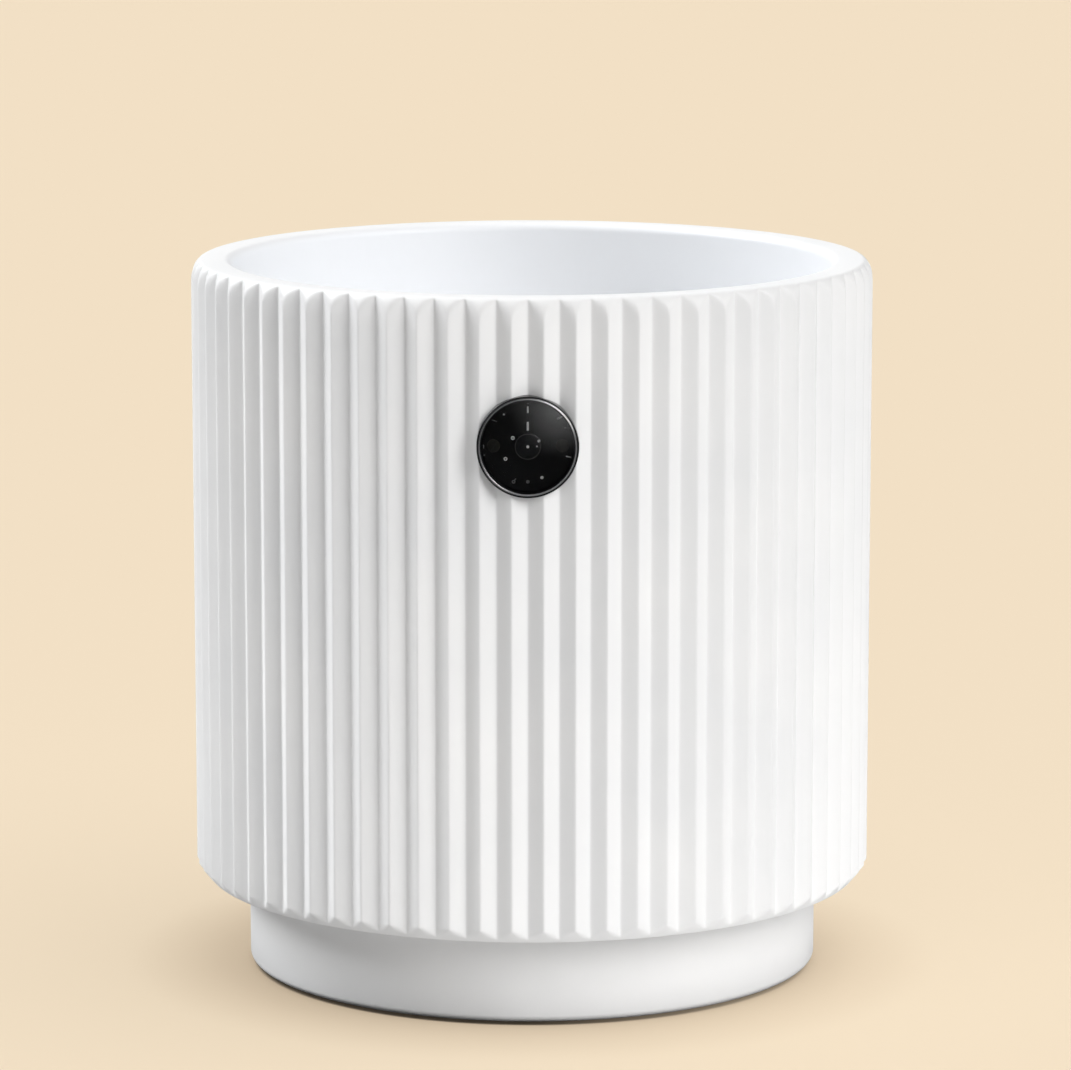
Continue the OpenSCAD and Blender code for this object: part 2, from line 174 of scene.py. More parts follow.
class GaugeSizes(PropertyGroup):
    """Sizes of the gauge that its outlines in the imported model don't give."""

    seat_radius: length("Pocket radius", "Radius of the pocket in the wall", 14.25)
    hole_radius: length("Hole radius", "Radius of the hole through the wall", 5.3)
    inner_seat_radius: length("Inner seat radius", "Radius of the flat inside the wall", 9.6)
    lip: length("Case lip", "Wall of the case's front lip", 0.45)
    dial_bore: length("Dial bore", "Radius of the case's bore round the dial", 12.7)
    case_back: length("Case back", "Thickness of the case's back", 1.4)
    edge: length("Edge rounding", "Rounding of the case's edges", 0.35)
    shank_radius: length("Shank radius", "Radius of the threaded shank", 5.0)
    thread_pitch: length("Thread pitch", "Pitch of the shank's thread", 1.0)
    thread_depth: length("Thread depth", "Depth of the shank's thread", 0.45)
    stem_bore: length("Stem bore", "Radius of the bore that holds the stem", 2.03)
    bush_bore: length("Bush bore", "Radius of the bore that holds the front bush", 1.13)
    window: length("Window radius", "Radius of the window inside the ring", 13.22)
    lens_edge: length("Lens edge", "Thickness of the lens at its edge", 1.0)
    spindle_hole: length("Spindle hole", "Radius of the hole in the dial round the spindle", 0.9)
    spindle_radius: length("Spindle radius", "Radius of the spindle", 0.5)
    screw_x: length("Screw place", "Distance of a dial screw from the axis", 9.4)
    screw_radius: length("Screw radius", "Radius of a dial screw's head", 1.8)
    slot_width: length("Slot width", "Width of the slot in a screw's head", 0.45)
    # Painted sheen: a fine pale line stands in for the light on the hub cap's rounded edge
    line_width: length("Line width", "Width of the fine line round the hub cap", 0.16)
    line_inset: length("Line inset", "Distance of that line from the hub cap's edge", 0.25)
    print_height: length("Print height", "How far the printed marks stand on the dial", 0.03)
    root_width: length("Pointer root", "Width of the pointer at the hub", 0.7)
    tip_width: length("Pointer tip", "Width of the pointer at its tip", 0.42)
    ring_round: length("Ring rounding", "Rounding of the outer edge of the ring's face", 0.38)
    ring_inner: length("Ring inner edge", "Rounding of the inner edge of the ring's face", 0.09)
    root_dark: length("Dark root", "How far out the pointer's root is black", 4.4)
    band_from: length("Band start", "Where the pointer's black band starts", 6.8)
    band_to: length("Band end", "Where the pointer's black band ends", 9.3)
    tip_dark: length("Dark tip", "Where the pointer's black tip starts", 11.1)
    boss_radius: length("Boss radius", "Radius of the pointer's boss under the hub cap", 1.75)
    paint: length("Paint", "Thickness of the black paint on the pointer", 0.03)
    screw_shank: length("Screw shank", "Radius of a dial screw's shank", 0.8)
    slot_depth: length("Slot depth", "Depth of the slot in a screw's head", 0.25)
    dash_width: length("Dash width", "Width of a printed dash", 0.32)
    circle_inner: length("Circle inside", "Inner radius of a printed circle", 0.22)
    circle_outer: length("Circle outside", "Outer radius of a printed circle", 0.52)
    stem_wall: length("Stem wall", "Wall of the stem's tube", 0.3)
    fit: length("Fit", "Gap between pieces of the gauge that fit in each other", 0.03)


class Finishes(PropertyGroup):
    """Colours of the surfaces."""

    glaze: colour("Glaze", "Glaze of the pot", 0.875, 0.872, 0.868)
    glaze_pool: colour("Pooled glaze", "Glaze where it lies thicker", 0.84, 0.842, 0.845)
    # Painted light: the inside gets a paler, bluer glaze colour that stands in for the brighter light there
    lining: colour("Lining", "Glaze inside the pot", 0.88, 0.892, 0.912)
    saucer: colour("Saucer glaze", "Glaze of the saucer", 0.85, 0.845, 0.838)
    saucer_pool: colour("Saucer's pooled glaze", "Saucer glaze where it lies thicker", 0.815, 0.813, 0.81)
    black: colour("Black paint", "Paint of the case", 0.012, 0.012, 0.013)
    dial: colour("Dial black", "Paint of the dial", 0.004, 0.004, 0.0045)
    # Also the colour of the painted highlights on the spindle's end and the hub cap
    white: colour("Printed white", "Marks of the dial and the pointer", 0.85, 0.85, 0.84)
    grey: colour("Printed grey", "Faint marks of the dial", 0.14, 0.14, 0.14)
    silver: colour("Silver", "Ring round the window", 0.82, 0.82, 0.83)
    steel: colour("Steel", "Stem, nut and washer", 0.56, 0.56, 0.57)
    brass: colour("Brass", "Bushes of the spindle", 0.72, 0.53, 0.26)
    copper: colour("Bimetal", "Strip of the helix", 0.66, 0.45, 0.3)
    rubber: colour("Rubber", "Gaskets, seal and pad", 0.03, 0.03, 0.031)
    screen: colour("Screen plastic", "Drain screen", 0.045, 0.05, 0.05)
    # Painted sheen: colour of the pale line that stands in for the light on the hub cap's edge
    hub_edge_sheen: colour("Hub line", "Fine line round the hub cap", 0.045, 0.041, 0.036)
    screw: colour("Screw black", "Screws of the dial", 0.02, 0.0185, 0.0145)
    glass: colour("Glass", "Window of the gauge", 0.98, 0.985, 0.985)


class StageSettings(PropertyGroup):
    """Camera, floor and light."""

    distance: length("Distance", "Distance of the camera from the pot's axis, along the floor", 1536.0)
    height: length("Height", "Height of the camera", 392.1)
    orbit: angle("Orbit", "Turn of the camera round the pot, to the right", 0.68)
    pitch: angle("Pitch", "How far the camera looks down", 9.78)
    yaw: angle("Yaw", "How far the camera looks to the right of the pot's axis", 0.038)
    focal: FloatProperty(name="Focal length", description="In pixels of the picture", default=5263.0, min=1.0)
    floor_size: FloatProperty(name="Floor", description="Half the floor's width", default=14.0, unit="LENGTH")
    backdrop: colour("Backdrop", "Floor and room as they are seen", 0.896, 0.752, 0.564)
    floor_lit: colour("Lit floor", "What the floor gives back of the light on it", 0.285, 0.239, 0.179)
    floor_glow: share("Floor glow", "Share of the backdrop that the floor shows without light", 0.678)
    # Painted shadow on the floor's glow: darker and warmer near the foot, and a dark line under its edge,
    # both from how closed in the floor is
    contact_reach: length("Contact reach", "How far from the foot the floor's glow is dimmed", 38.0)
    contact_shade: share("Contact shade", "How much of the floor's glow the foot can take away", 0.33)
    contact_colour: colour("Contact colour", "Floor's glow close to the foot", 0.896, 0.705, 0.5)
    seam_reach: length("Seam reach", "How far out the dark seam under the foot reaches", 1.6)
    seam_core: share("Seam core", "Openness up to which the seam is fully dark", 0.4)
    seam_edge: share("Seam edge", "Openness from which the seam doesn't show", 0.7)
    seam_fade: share("Seam fade", "How much of the dark seam is left on the lit side", 0.35)
    bounce_colour: colour("Bounce colour", "Floor as it lights the pot", 0.89, 0.88, 0.868)
    # Painted shadow in the floor's bounce: a band round the foot gives the pot less light, wider on the
    # shaded side
    bounce_near: length("Bounce near", "Width of the dim band round the foot, on the lit side", 10.0)
    bounce_shade: length("Bounce shade", "Width of the dim band round the foot, on the shaded side", 46.0)
    bounce_fall: length("Bounce fall", "How far from the foot the floor's bounce starts to fall", 200.0)
    bounce_far: length("Bounce far", "How far from the foot the floor's bounce has fallen", 800.0)
    bounce_left: share("Bounce left", "Share of the bounce that is left far off", 0.39)
    dark_end: colour("Dark end", "Room behind the camera, as metal and glass show it", 0.02, 0.02, 0.02)
    dark_near: length("Dark near", "How far to the front the mirrored floor starts to go dark", 300.0)
    dark_far: length("Dark far", "How far to the front the mirrored floor is dark", 600.0)
    dark_from: share("Dark from", "Forward part of a direction where the mirrored room darkens", 0.2)
    dark_to: share("Dark to", "Forward part of a direction where the mirrored room is dark", 0.6)
    mirrored_floor: colour("Mirrored floor", "Floor as metal and glass show it", 0.45, 0.45, 0.455)
    mirrored_room: colour("Mirrored room", "Room as metal and glass show it", 0.8, 0.8, 0.8)
    ambient: amount("Ambient", "Light from all round", 0.195)
    key: amount("Key", "Soft light on the object from the right", 0.73)
    key_from: from_side("Key from", "Where the key light stands", 45, 33)
    key_spread: angle("Key spread", "Width of the key light", 42)
    key_tint: colour("Key tint", "Colour of the key light", 1.0, 0.998, 0.995)
    back: amount("Back", "Light on the object from behind on the left", 0.955)
    back_from: from_side("Back from", "Where the back light stands", -104.5, 36)
    back_spread: angle("Back spread", "Width of the back light", 31)
    back_tint: colour("Back tint", "Colour of the back light", 0.97, 0.985, 1.0)
    under: amount("Floor light", "Light that falls on the floor alone", 0.834)
    under_from: from_side("Floor light from", "Where the floor light stands", 70, 72)
    under_spread: angle("Floor light spread", "Width of the floor light", 70)
    card_place: FloatVectorProperty(
        name="Card", description="Middle of a pale card that only metal and glass see",
        default=(0.085, -1.0, 0.145), size=3, subtype="TRANSLATION"
    )
    card_radius: length("Card radius", "Where the card's glow has faded out", 150.0)
    card_glow: amount("Card glow", "Strength of the card's middle", 2.3)
    card_fade: amount("Card fade", "Power by which the card's glow fades outwards", 1.5)


class PlanterSettings(PropertyGroup):
    """All settings of the planter."""

    pot: PointerProperty(type=PotSizes)
    saucer: PointerProperty(type=SaucerSizes)
    gauge: PointerProperty(type=GaugeSizes)
    finish: PointerProperty(type=Finishes)
    stage: PointerProperty(type=StageSettings)


def arc(centre, radii, start, end, steps):
    """Part of an ellipse: the centre plus the two radii times the cosine and sine of an angle in degrees."""
    turn = np.radians(np.linspace(start, end, steps + 1))
    return np.stack([centre[0] + radii[0] * np.cos(turn), centre[1] + radii[1] * np.sin(turn)], axis=1)


def outline(corners, closed, steps=5):
    """A line through (radius, height, rounding) corners, with each rounding an arc tangent to both edges."""
    points = np.array([corner[:2] for corner in corners], float)
    count = len(corners)
    runs = []
    for i, (_, _, rounding) in enumerate(corners):
        if rounding == 0 or (not closed and i in (0, count - 1)):
            runs.append(points[i : i + 1])
            continue
        back = points[i - 1] - points[i]
        ahead = points[(i + 1) % count] - points[i]
        back = back / np.linalg.norm(back)
        ahead = ahead / np.linalg.norm(ahead)
        half = math.acos(float(np.clip(back @ ahead, -1, 1))) / 2
        middle = (back + ahead) / np.linalg.norm(back + ahead)
        centre = points[i] + middle * rounding / math.sin(half)
        first = points[i] + back * rounding / math.tan(half) - centre
        last = points[i] + ahead * rounding / math.tan(half) - centre
        sweep = math.pi - 2 * half
        t = np.linspace(0, 1, steps + 1)[:, None]
        runs.append(centre + (np.sin((1 - t) * sweep) * first + np.sin(t * sweep) * last) / math.sin(sweep))
    return np.concatenate(runs)


def grid_faces(rows, columns, closed):
    """Quads between neighbouring rows and columns; columns run in a ring, and rows too if closed."""
    i = np.arange(rows if closed else rows - 1)[:, None]
    j = np.arange(columns)[None, :]
    i_next, j_next = (i + 1) % rows, (j + 1) % columns
    corners = [i * columns + j, i * columns + j_next, i_next * columns + j_next, i_next * columns + j]
    return np.stack(corners, axis=-1).reshape(-1, 4)


def turned(line, closed, columns=96):
    """A lathe form: each (r, h) of a line goes to x = r sin(a), y = r cos(a), z = h for all angles a."""
    a = np.linspace(0, 2 * math.pi, columns, endpoint=False)[None, :]
    r, h = line[:, 0, None], line[:, 1, None]
    points = np.stack([r * np.sin(a), r * np.cos(a), h + 0 * a], axis=-1)
    return points.reshape(-1, 3), grid_faces(len(line), columns, closed)


def turned_corners(corners, closed, columns=96, steps=5):
    """A lathe form of a line that is given by its corners."""
    return turned(outline(corners, closed, steps), closed, columns)


def collar(inner, outer, low, high, columns, rounds=(0.0, 0.0, 0.0, 0.0), steps=5):
    """A ring between two radii and two heights, with the roundings of its edges.

    They are those of the low inner, the low outer, the high outer and the high inner edge.
    """
    corners = zip((inner, outer, outer, inner), (low, low, high, high), rounds)
    return turned_corners(list(corners), True, columns, steps)


def block(low, high, taper=1.0, turn=0.0):
    """A box from low to high, tapered to its far y end, and turned clockwise about z by an angle."""
    x = np.array([low[0], high[0], high[0], low[0]])
    y = np.array([low[1], low[1], high[1], high[1]])
    x = x * np.where(y == high[1], taper, 1.0)
    ring_x = x * math.cos(turn) + y * math.sin(turn)
    ring_y = y * math.cos(turn) - x * math.sin(turn)
    points = np.concatenate([np.stack([ring_x, ring_y, np.full(4, z)], axis=1) for z in (low[2], high[2])])
    sides = grid_faces(2, 4, False)
    return points, np.concatenate([sides, [[3, 2, 1, 0], [4, 5, 6, 7]]])


def strand(start, end, width, height, sides=10):
    """A straight strand: an ellipse carried from start to end, closed to a point just past each end."""
    start, end = np.array(start), np.array(end)
    along = (end - start) / np.linalg.norm(end - start)
    across = np.array([-along[1], along[0], 0.0])
    a = np.linspace(0, 2 * math.pi, sides, endpoint=False)[:, None]
    ring = np.cos(a) * across * width / 2 + np.sin(a) * np.array([0.0, 0.0, height / 2])
    cap = along * height / 2
    rings = [start - cap + 0 * ring, start + ring, end + ring, end + cap + 0 * ring]
    return np.concatenate(rings), grid_faces(4, sides, False)


def moved(shape, offset):
    """The same shape, moved."""
    points, faces = shape
    return points + np.array(offset), faces


def spot(radius, low, high, x, y, columns=24):
    """A thin round plate between two heights, moved off the axis."""
    line = np.array([(0.0, low), (radius, low), (radius, high), (0.0, high)])
    return moved(turned(line, False, columns), (x, y, 0.0))


def drawn_in(points, scale):
    """Points moved towards the z axis: their x and y times a scale for each."""
    return points * np.stack([scale, scale, np.ones_like(scale)], axis=1)


def joined(shapes):
    """Several shapes as one."""
    starts = np.cumsum([0] + [len(points) for points, _ in shapes[:-1]])
    points = np.concatenate([points for points, _ in shapes])
    faces = np.concatenate([faces + start for (_, faces), start in zip(shapes, starts)])
    return points, faces


def on_gauge(shape):
    """A shape drawn along +z with +y up, put on the gauge's axis so that its z runs to the front."""
    points, faces = shape
    x, y, depth = points.T
    return np.stack([x, SEAT_Y - depth, GAUGE_Z + y], axis=1), faces


def span(node):
    """Where a gauge node lies: its back and front along the axis, and its largest radius."""
    low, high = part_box(node)
    return SEAT_Y - high.y, SEAT_Y - low.y, (high.x - low.x) / 2


def new_object(name, shape, sharp=SHARP):
    """A mesh object of a shape: doubles merged, faces outwards, smooth but for edges past the sharp angle."""
    points, faces = shape
    mesh = bpy.data.meshes.new(name)
    mesh.vertices.add(len(points))
    mesh.vertices.foreach_set("co", np.ascontiguousarray(points, np.float32).ravel())
    mesh.loops.add(faces.size)
    mesh.loops.foreach_set("vertex_index", np.ascontiguousarray(faces, np.int32).ravel())
    mesh.polygons.add(len(faces))
    mesh.polygons.foreach_set("loop_start", np.arange(0, faces.size, 4, dtype=np.int32))
    mesh.update(calc_edges=True)
    mesh.validate()
    made = bpy.data.objects.new(name, mesh)
    bpy.context.scene.collection.objects.link(made)
    clean(made, sharp)
    return made


def clean(piece, sharp):
    """Merges doubles, turns faces outwards, and shades smooth with sharp edges past an angle in degrees."""
    mesh = piece.data
    work = bmesh.new()
    work.from_mesh(mesh)
    bmesh.ops.remove_doubles(work, verts=work.verts, dist=MERGE)
    bmesh.ops.dissolve_degenerate(work, edges=work.edges, dist=SLIVER)
    bmesh.ops.recalc_face_normals(work, faces=work.faces)
    work.to_mesh(mesh)
    work.free()
    mesh.shade_smooth()
    mesh.set_sharp_from_angle(angle=math.radians(sharp))


def cut(piece, shape, sharp):
    """Takes a closed shape out of a piece, and applies the cut."""
    cutter = new_object(piece.name + "_cutter", shape)
    modifier = piece.modifiers.new("cut", "BOOLEAN")
    modifier.object = cutter
    modifier.operation = "DIFFERENCE"
    modifier.solver = "EXACT"
    seen = piece.evaluated_get(bpy.context.evaluated_depsgraph_get())
    result = bpy.data.meshes.new_from_object(seen)
    old = piece.data
    piece.modifiers.clear()
    piece.data = result
    bpy.data.meshes.remove(old)
    spent = cutter.data
    bpy.data.objects.remove(cutter)
    bpy.data.meshes.remove(spent)
    clean(piece, sharp)


def place(piece, material, body, slot, *nodes):
    """Gives a piece its material and its body, and hides the nodes it stands for; the slot is not used."""
    piece.data.materials.clear()
    piece.data.materials.append(material)
    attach(piece, body)
    if nodes:
        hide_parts(*nodes)


def gauge_piece(name, shape, material, body, slot, *nodes, sharp=SHARP):
    """Makes a piece of a shape drawn on the gauge's axis."""
    place(new_object(name, on_gauge(shape), sharp), material, body, slot, *nodes)


def add(tree, kind, inputs=None, **settings):
    """A node with its settings, its inputs set to values or linked to other nodes' outputs."""
    made = tree.nodes.new(kind)
    for key, value in settings.items():
        setattr(made, key, value)
    for socket, value in (inputs or {}).items():
        if isinstance(value, bpy.types.NodeSocket):
            tree.links.new(value, made.inputs[socket])
        else:
            made.inputs[socket].default_value = value
    return made


def calc(tree, operation, first, second=0.0):
    """A math node's output."""
    return add(tree, "ShaderNodeMath", {0: first, 1: second}, operation=operation).outputs[0]


def remap(tree, value, low, high, new_low, new_high):
    """A value moved from one range to another, held within it."""
    inputs = {"Value": value, "From Min": low, "From Max": high, "To Min": new_low, "To Max": new_high}
    return add(tree, "ShaderNodeMapRange", inputs).outputs["Result"]


def blended(tree, factor, first, second):
    """A colour between two colours."""
    mix = add(tree, "ShaderNodeMix", {0: factor, 6: first, 7: second}, data_type="RGBA")
    return mix.outputs[2]


def on_object(tree):
    """Where a point lies in its object's frame."""
    return add(tree, "ShaderNodeTexCoord").outputs["Object"]


def reach_of(tree, vector, axes=(1.0, 1.0, 1.0)):
    """A vector's length, along the axes that are given as 1."""
    kept = add(tree, "ShaderNodeVectorMath", {0: vector, 1: axes}, operation="MULTIPLY").outputs["Vector"]
    return add(tree, "ShaderNodeVectorMath", {0: kept}, operation="LENGTH").outputs["Value"]


def noise(tree, vector, scale, detail):
    """A noise's value."""
    inputs = {"Vector": vector, "Scale": scale, "Detail": detail}
    return add(tree, "ShaderNodeTexNoise", inputs).outputs["Fac"]


def widened(tree, value):
    """The middle of a noise's range, widened to 0 to 1."""
    return remap(tree, value, 0.3, 0.7, 0.0, 1.0)


def new_group(name, inputs):
    """An empty shader group with number inputs, a shade and a height, and its inner sockets."""
    tree = bpy.data.node_groups.new(name, "ShaderNodeTree")
    for title, value in inputs.items():
        socket = tree.interface.new_socket(title, in_out="INPUT", socket_type="NodeSocketFloat")
        socket.default_value = value
    for title in ("Shade", "Height"):
        tree.interface.new_socket(title, in_out="OUTPUT", socket_type="NodeSocketFloat")
    return tree, tree.nodes.new("NodeGroupInput").outputs, tree.nodes.new("NodeGroupOutput").inputs


def glaze_skin():
    """Group: a glaze's cloudy thickness as a shade, and its fine waves with a few pinholes as a height."""
    tree, given, out = new_group("glaze_skin", {"Cloud Scale": 26.0, "Wave Scale": 420.0})
    place_on = on_object(tree)
    pin_share, pin_size = 0.3, 0.05
    cloud = noise(tree, place_on, given["Cloud Scale"], 3.0)
    wave = noise(tree, place_on, given["Wave Scale"], 2.0)
    pin_scale = calc(tree, "MULTIPLY", given["Wave Scale"], pin_share)
    pin = add(tree, "ShaderNodeTexVoronoi", {"Vector": place_on, "Scale": pin_scale}).outputs["Distance"]
    hole = remap(tree, pin, 0.0, pin_size, 1.0, 0.0)
    tree.links.new(widened(tree, cloud), out["Shade"])
    tree.links.new(calc(tree, "SUBTRACT", wave, hole), out["Height"])
    return tree


def fine_grain():
    """Group: the fine grain of paint, rubber or plastic as a height, and with wide patches as a shade."""
    tree, given, out = new_group("fine_grain", {"Scale": 2500.0})
    place_on = on_object(tree)
    patch_share = 0.06
    grain = noise(tree, place_on, given["Scale"], 4.0)
    patch = noise(tree, place_on, calc(tree, "MULTIPLY", given["Scale"], patch_share), 2.0)
    mean = calc(tree, "MULTIPLY", calc(tree, "ADD", grain, patch), 0.5)
    tree.links.new(widened(tree, mean), out["Shade"])
    tree.links.new(grain, out["Height"])
    return tree


def turned_lines():
    """Group: the tool marks of a lathe, rings about the gauge's axis, as a shade and as a height.

    The noise is read at the distance from the axis and the place along it, so it is the same all round.
    """
    tree, given, out = new_group("turned_lines", {"Fineness": 5000.0})
    centring = {"Vector": on_object(tree), "Location": (0.0, 0.0, -GAUGE_Z)}
    centred = add(tree, "ShaderNodeMapping", centring).outputs["Vector"]
    along = add(tree, "ShaderNodeSeparateXYZ", {0: centred}).outputs["Y"]
    ring = add(tree, "ShaderNodeCombineXYZ", {"X": reach_of(tree, centred, (1.0, 0.0, 1.0)), "Y": along})
    line = noise(tree, ring.outputs["Vector"], given["Fineness"], 3.0)
    tree.links.new(widened(tree, line), out["Shade"])
    tree.links.new(line, out["Height"])
    return tree


def shared(build):
    """A shared group, built the first time it is asked for."""
    return bpy.data.node_groups.get(build.__name__) or build()


def bare_material(name):
    """A new material, its node tree and its shader's sockets."""
    material = bpy.data.materials.new(name)
    material.use_nodes = True
    tree = material.node_tree
    return material, tree, tree.nodes["Principled BSDF"].inputs


def grained(name, build, values, colours, roughness, bump):
    """A material that a shared group's shade takes from one colour and roughness to another.

    The group's height goes to the shader's normal, by the bump's strength and distance.
    """
    material, tree, shader = bare_material(name)
    effect = add(tree, "ShaderNodeGroup", values, node_tree=shared(build)).outputs
    strength, distance = bump
    raised = {"Height": effect["Height"], "Strength": strength, "Distance": distance}
    tree.links.new(blended(tree, effect["Shade"], *colours), shader["Base Color"])
    tree.links.new(remap(tree, effect["Shade"], 0.0, 1.0, *roughness), shader["Roughness"])
    tree.links.new(add(tree, "ShaderNodeBump", raised).outputs["Normal"], shader["Normal"])
    return material, shader


def glaze(name, thin, pooled):
    """Satin white glaze, a little greyer and glossier where it lies thick."""
    colours, roughness, bump = (tuple(thin), tuple(pooled)), (0.5, 0.4), (0.12, 0.1 * MM)
    material, shader = grained(name, glaze_skin, {}, colours, roughness, bump)
    shader["Specular IOR Level"].default_value = 0.45
    return material


def line_pot(material, lining, radius, soft):
    """Within a radius of the pot's axis, a glaze goes over to a paler, bluer colour: painted light for the
    brighter light inside the pot.
    """
    tree = material.node_tree
    base = tree.nodes["Principled BSDF"].inputs["Base Color"]
    outer = base.links[0].from_socket
    # Painted light: inside this radius the glaze colour is made paler and bluer
    inside = remap(tree, reach_of(tree, on_object(tree), (1.0, 1.0, 0.0)), radius, radius + soft, 1.0, 0.0)
    tree.links.new(blended(tree, inside, outer, tuple(lining)), base)


def coated(name, base, roughness, grain, depth, lift=1.6, gloss=0.5):
    """Paint, rubber or plastic with a fine grain; its high spots are lighter and rougher."""
    light = tuple(min(1.0, part * lift) for part in base[:3]) + (1.0,)
    rough = (roughness * 0.85, roughness * 1.15)
    material, shader = grained(name, fine_grain, {"Scale": grain}, (tuple(base), light), rough, (0.25, depth))
    shader["Specular IOR Level"].default_value = gloss
    return material


def metal(name, base, roughness, fineness):
    """Turned metal: rings about the gauge's axis in its colour, roughness and height."""
    dark = tuple(part * 0.82 for part in base[:3]) + (1.0,)
    rough, bump = (roughness * 0.7, roughness * 1.3), (0.2, 0.01 * MM)
    material, shader = grained(name, turned_lines, {"Fineness": fineness}, (dark, tuple(base)), rough, bump)
    shader["Metallic"].default_value = 1.0
    return material


def window_glass(name, base):
    """Clear glass with faint wipe marks in its gloss."""
    material, tree, shader = bare_material(name)
    wipes = add(tree, "ShaderNodeGroup", {"Scale": 900.0}, node_tree=shared(fine_grain)).outputs["Shade"]
    tree.links.new(remap(tree, wipes, 0.2, 0.9, 0.0, 0.03), shader["Roughness"])
    shader["Base Color"].default_value = tuple(base)
    shader["Transmission Weight"].default_value = 1.0
    shader["IOR"].default_value = 1.5
    return material


def flute_radius(turn, pot, crest):
    """Radius of the fluted wall at an angle.

    Across a flute, a share d goes from 0 at a crest to 1 at a valley. The radius falls by the depth times d,
    with a hyperbola in place of each corner: the root of d squared plus a small square at the crest, and the
    same of 1 - d at the valley.
    """
    phase = turn * pot.flute_count / (2 * math.pi) % 1.0
    d = np.abs(phase - 0.5) * 2
    fall = np.sqrt(d**2 + pot.crest_soft**2) - np.sqrt((1 - d) ** 2 + pot.valley_soft**2) + 1 - d
    top = pot.crest_soft - math.sqrt(1 + pot.valley_soft**2) + 1
    bottom = math.sqrt(1 + pot.crest_soft**2) - pot.valley_soft
    return crest - pot.flute_depth * (fall - top) / (bottom - top)


def flute_angles(pot):
    """Angles round the pot, closer together at the crests and the valleys of its flutes."""
    half = np.array([0.0, 0.05, 0.12, 0.25, 0.6, 0.85, 0.92, 0.965])
    shares = np.concatenate([half, 2 - np.append(1.0, half[:0:-1])]) / 2
    flutes = np.arange(pot.flute_count)[:, None]
    return ((flutes + shares[None, :]) / pot.flute_count * 2 * math.pi).ravel()


def pot_lines(pot):
    """The pot's closed outline as two lines of (radius, height): the fluted outside, and all the rest."""
    crest = POT_HIGH.x
    rim, foot = POT_HIGH.z, POT_LOW.z
    skirt = SAUCER_HIGH.z + pot.seam
    floor_top = SCREEN_LOW.z
    inside = crest - pot.flute_depth - pot.wall
    side = crest + pot.crest_margin
    foot_side = SAUCER_HIGH.x - pot.foot_gap
    foot_inside = foot_side - pot.foot_width
    skirt_side = side - pot.skirt_depth
    skirt_low = skirt + pot.skirt_lift
    skirt_high = skirt_low + pot.skirt_height
    rim_side = side - pot.rim_depth
    edge = outline([
        (foot_side, skirt, 0.0), (skirt_side, skirt_low, pot.skirt_round), (side, skirt_high, 0.0),
    ], False)[1:-1]
    outside = np.concatenate([
        edge,
        np.linspace(edge[-1], (side, skirt_high), SKIRT_ROWS + 1)[1:],
        [(side, GAUGE_Z + row * pot.pocket_rows) for row in (-2, -1, 0, 1)],
        arc((rim_side, rim - pot.rim_height), (pot.rim_depth, pot.rim_height), 0, 90, RIM_ROWS),
    ])
    lip = outline([
        (rim_side, rim, 0.0), (inside, rim, pot.lip_round), (inside, floor_top, 0.0),
    ], False, LIP_ROWS)
    rest = outline([
        (inside, rim, 0.0),
        (inside, floor_top, pot.inside_round),
        (pot.drain_radius, floor_top, pot.drain_round),
        (pot.drain_radius, floor_top - pot.floor, pot.drain_round),
        (foot_inside, floor_top - pot.floor, pot.hollow_round),
        (foot_inside, foot, pot.foot_inner_round),
        (foot_side, foot, pot.foot_round),
        (foot_side, skirt, 0.0),
        (skirt_side, skirt_low, 0.0),
    ], False)
    return outside, np.concatenate([lip[1:-1], rest[1:-1]])


def pot_shape(pot):
    """The pot: its outline carried round, where the fluted side is the lesser of the flutes and the outline.

    The lesser of a and b is taken softly: half of a + b less the root of (a - b) squared plus a small square.
    """
    outside, rest = pot_lines(pot)
    turn = flute_angles(pot)[None, :]
    flutes = flute_radius(turn, pot, POT_HIGH.x)
    trim = outside[:, 0, None]
    radius = (flutes + trim - np.sqrt((flutes - trim) ** 2 + pot.runout_soft**2)) / 2
    radius = np.concatenate([radius, rest[:, 0, None] + 0 * turn])
    height = np.concatenate([outside[:, 1], rest[:, 1]])[:, None] + 0 * turn
    points = np.stack([radius * np.sin(turn), -radius * np.cos(turn), height], axis=-1)
    return points.reshape(-1, 3), grid_faces(len(height), turn.size, True)


def pot_cuts(pot, gauge):
    """What is cut from the pot: the gauge's pocket, hole and inner flat, and the foot ring's notches."""
    inner = span("inner_gasket")[1]
    hole = turned_corners([
        (0.0, CUT_FRONT, 0.0), (gauge.seat_radius, CUT_FRONT, 0.0), (gauge.seat_radius, 0.0, 0.0),
        (gauge.hole_radius, 0.0, 0.0), (gauge.hole_radius, inner, 0.0), (gauge.inner_seat_radius, inner, 0.0),
        (gauge.inner_seat_radius, CUT_BACK, 0.0), (0.0, CUT_BACK, 0.0),
    ], False, columns=160)
    foot_side = SAUCER_HIGH.x - pot.foot_gap
    half = pot.notch_width / 2
    low = (-half, foot_side - pot.foot_width - NOTCH_IN, POT_LOW.z - NOTCH_DOWN)
    high = (half, foot_side + NOTCH_OUT, POT_LOW.z + pot.notch_height)
    notches = [block(low, high, turn=math.radians(45 + 90 * quarter)) for quarter in range(4)]
    return joined([on_gauge(hole), *notches])


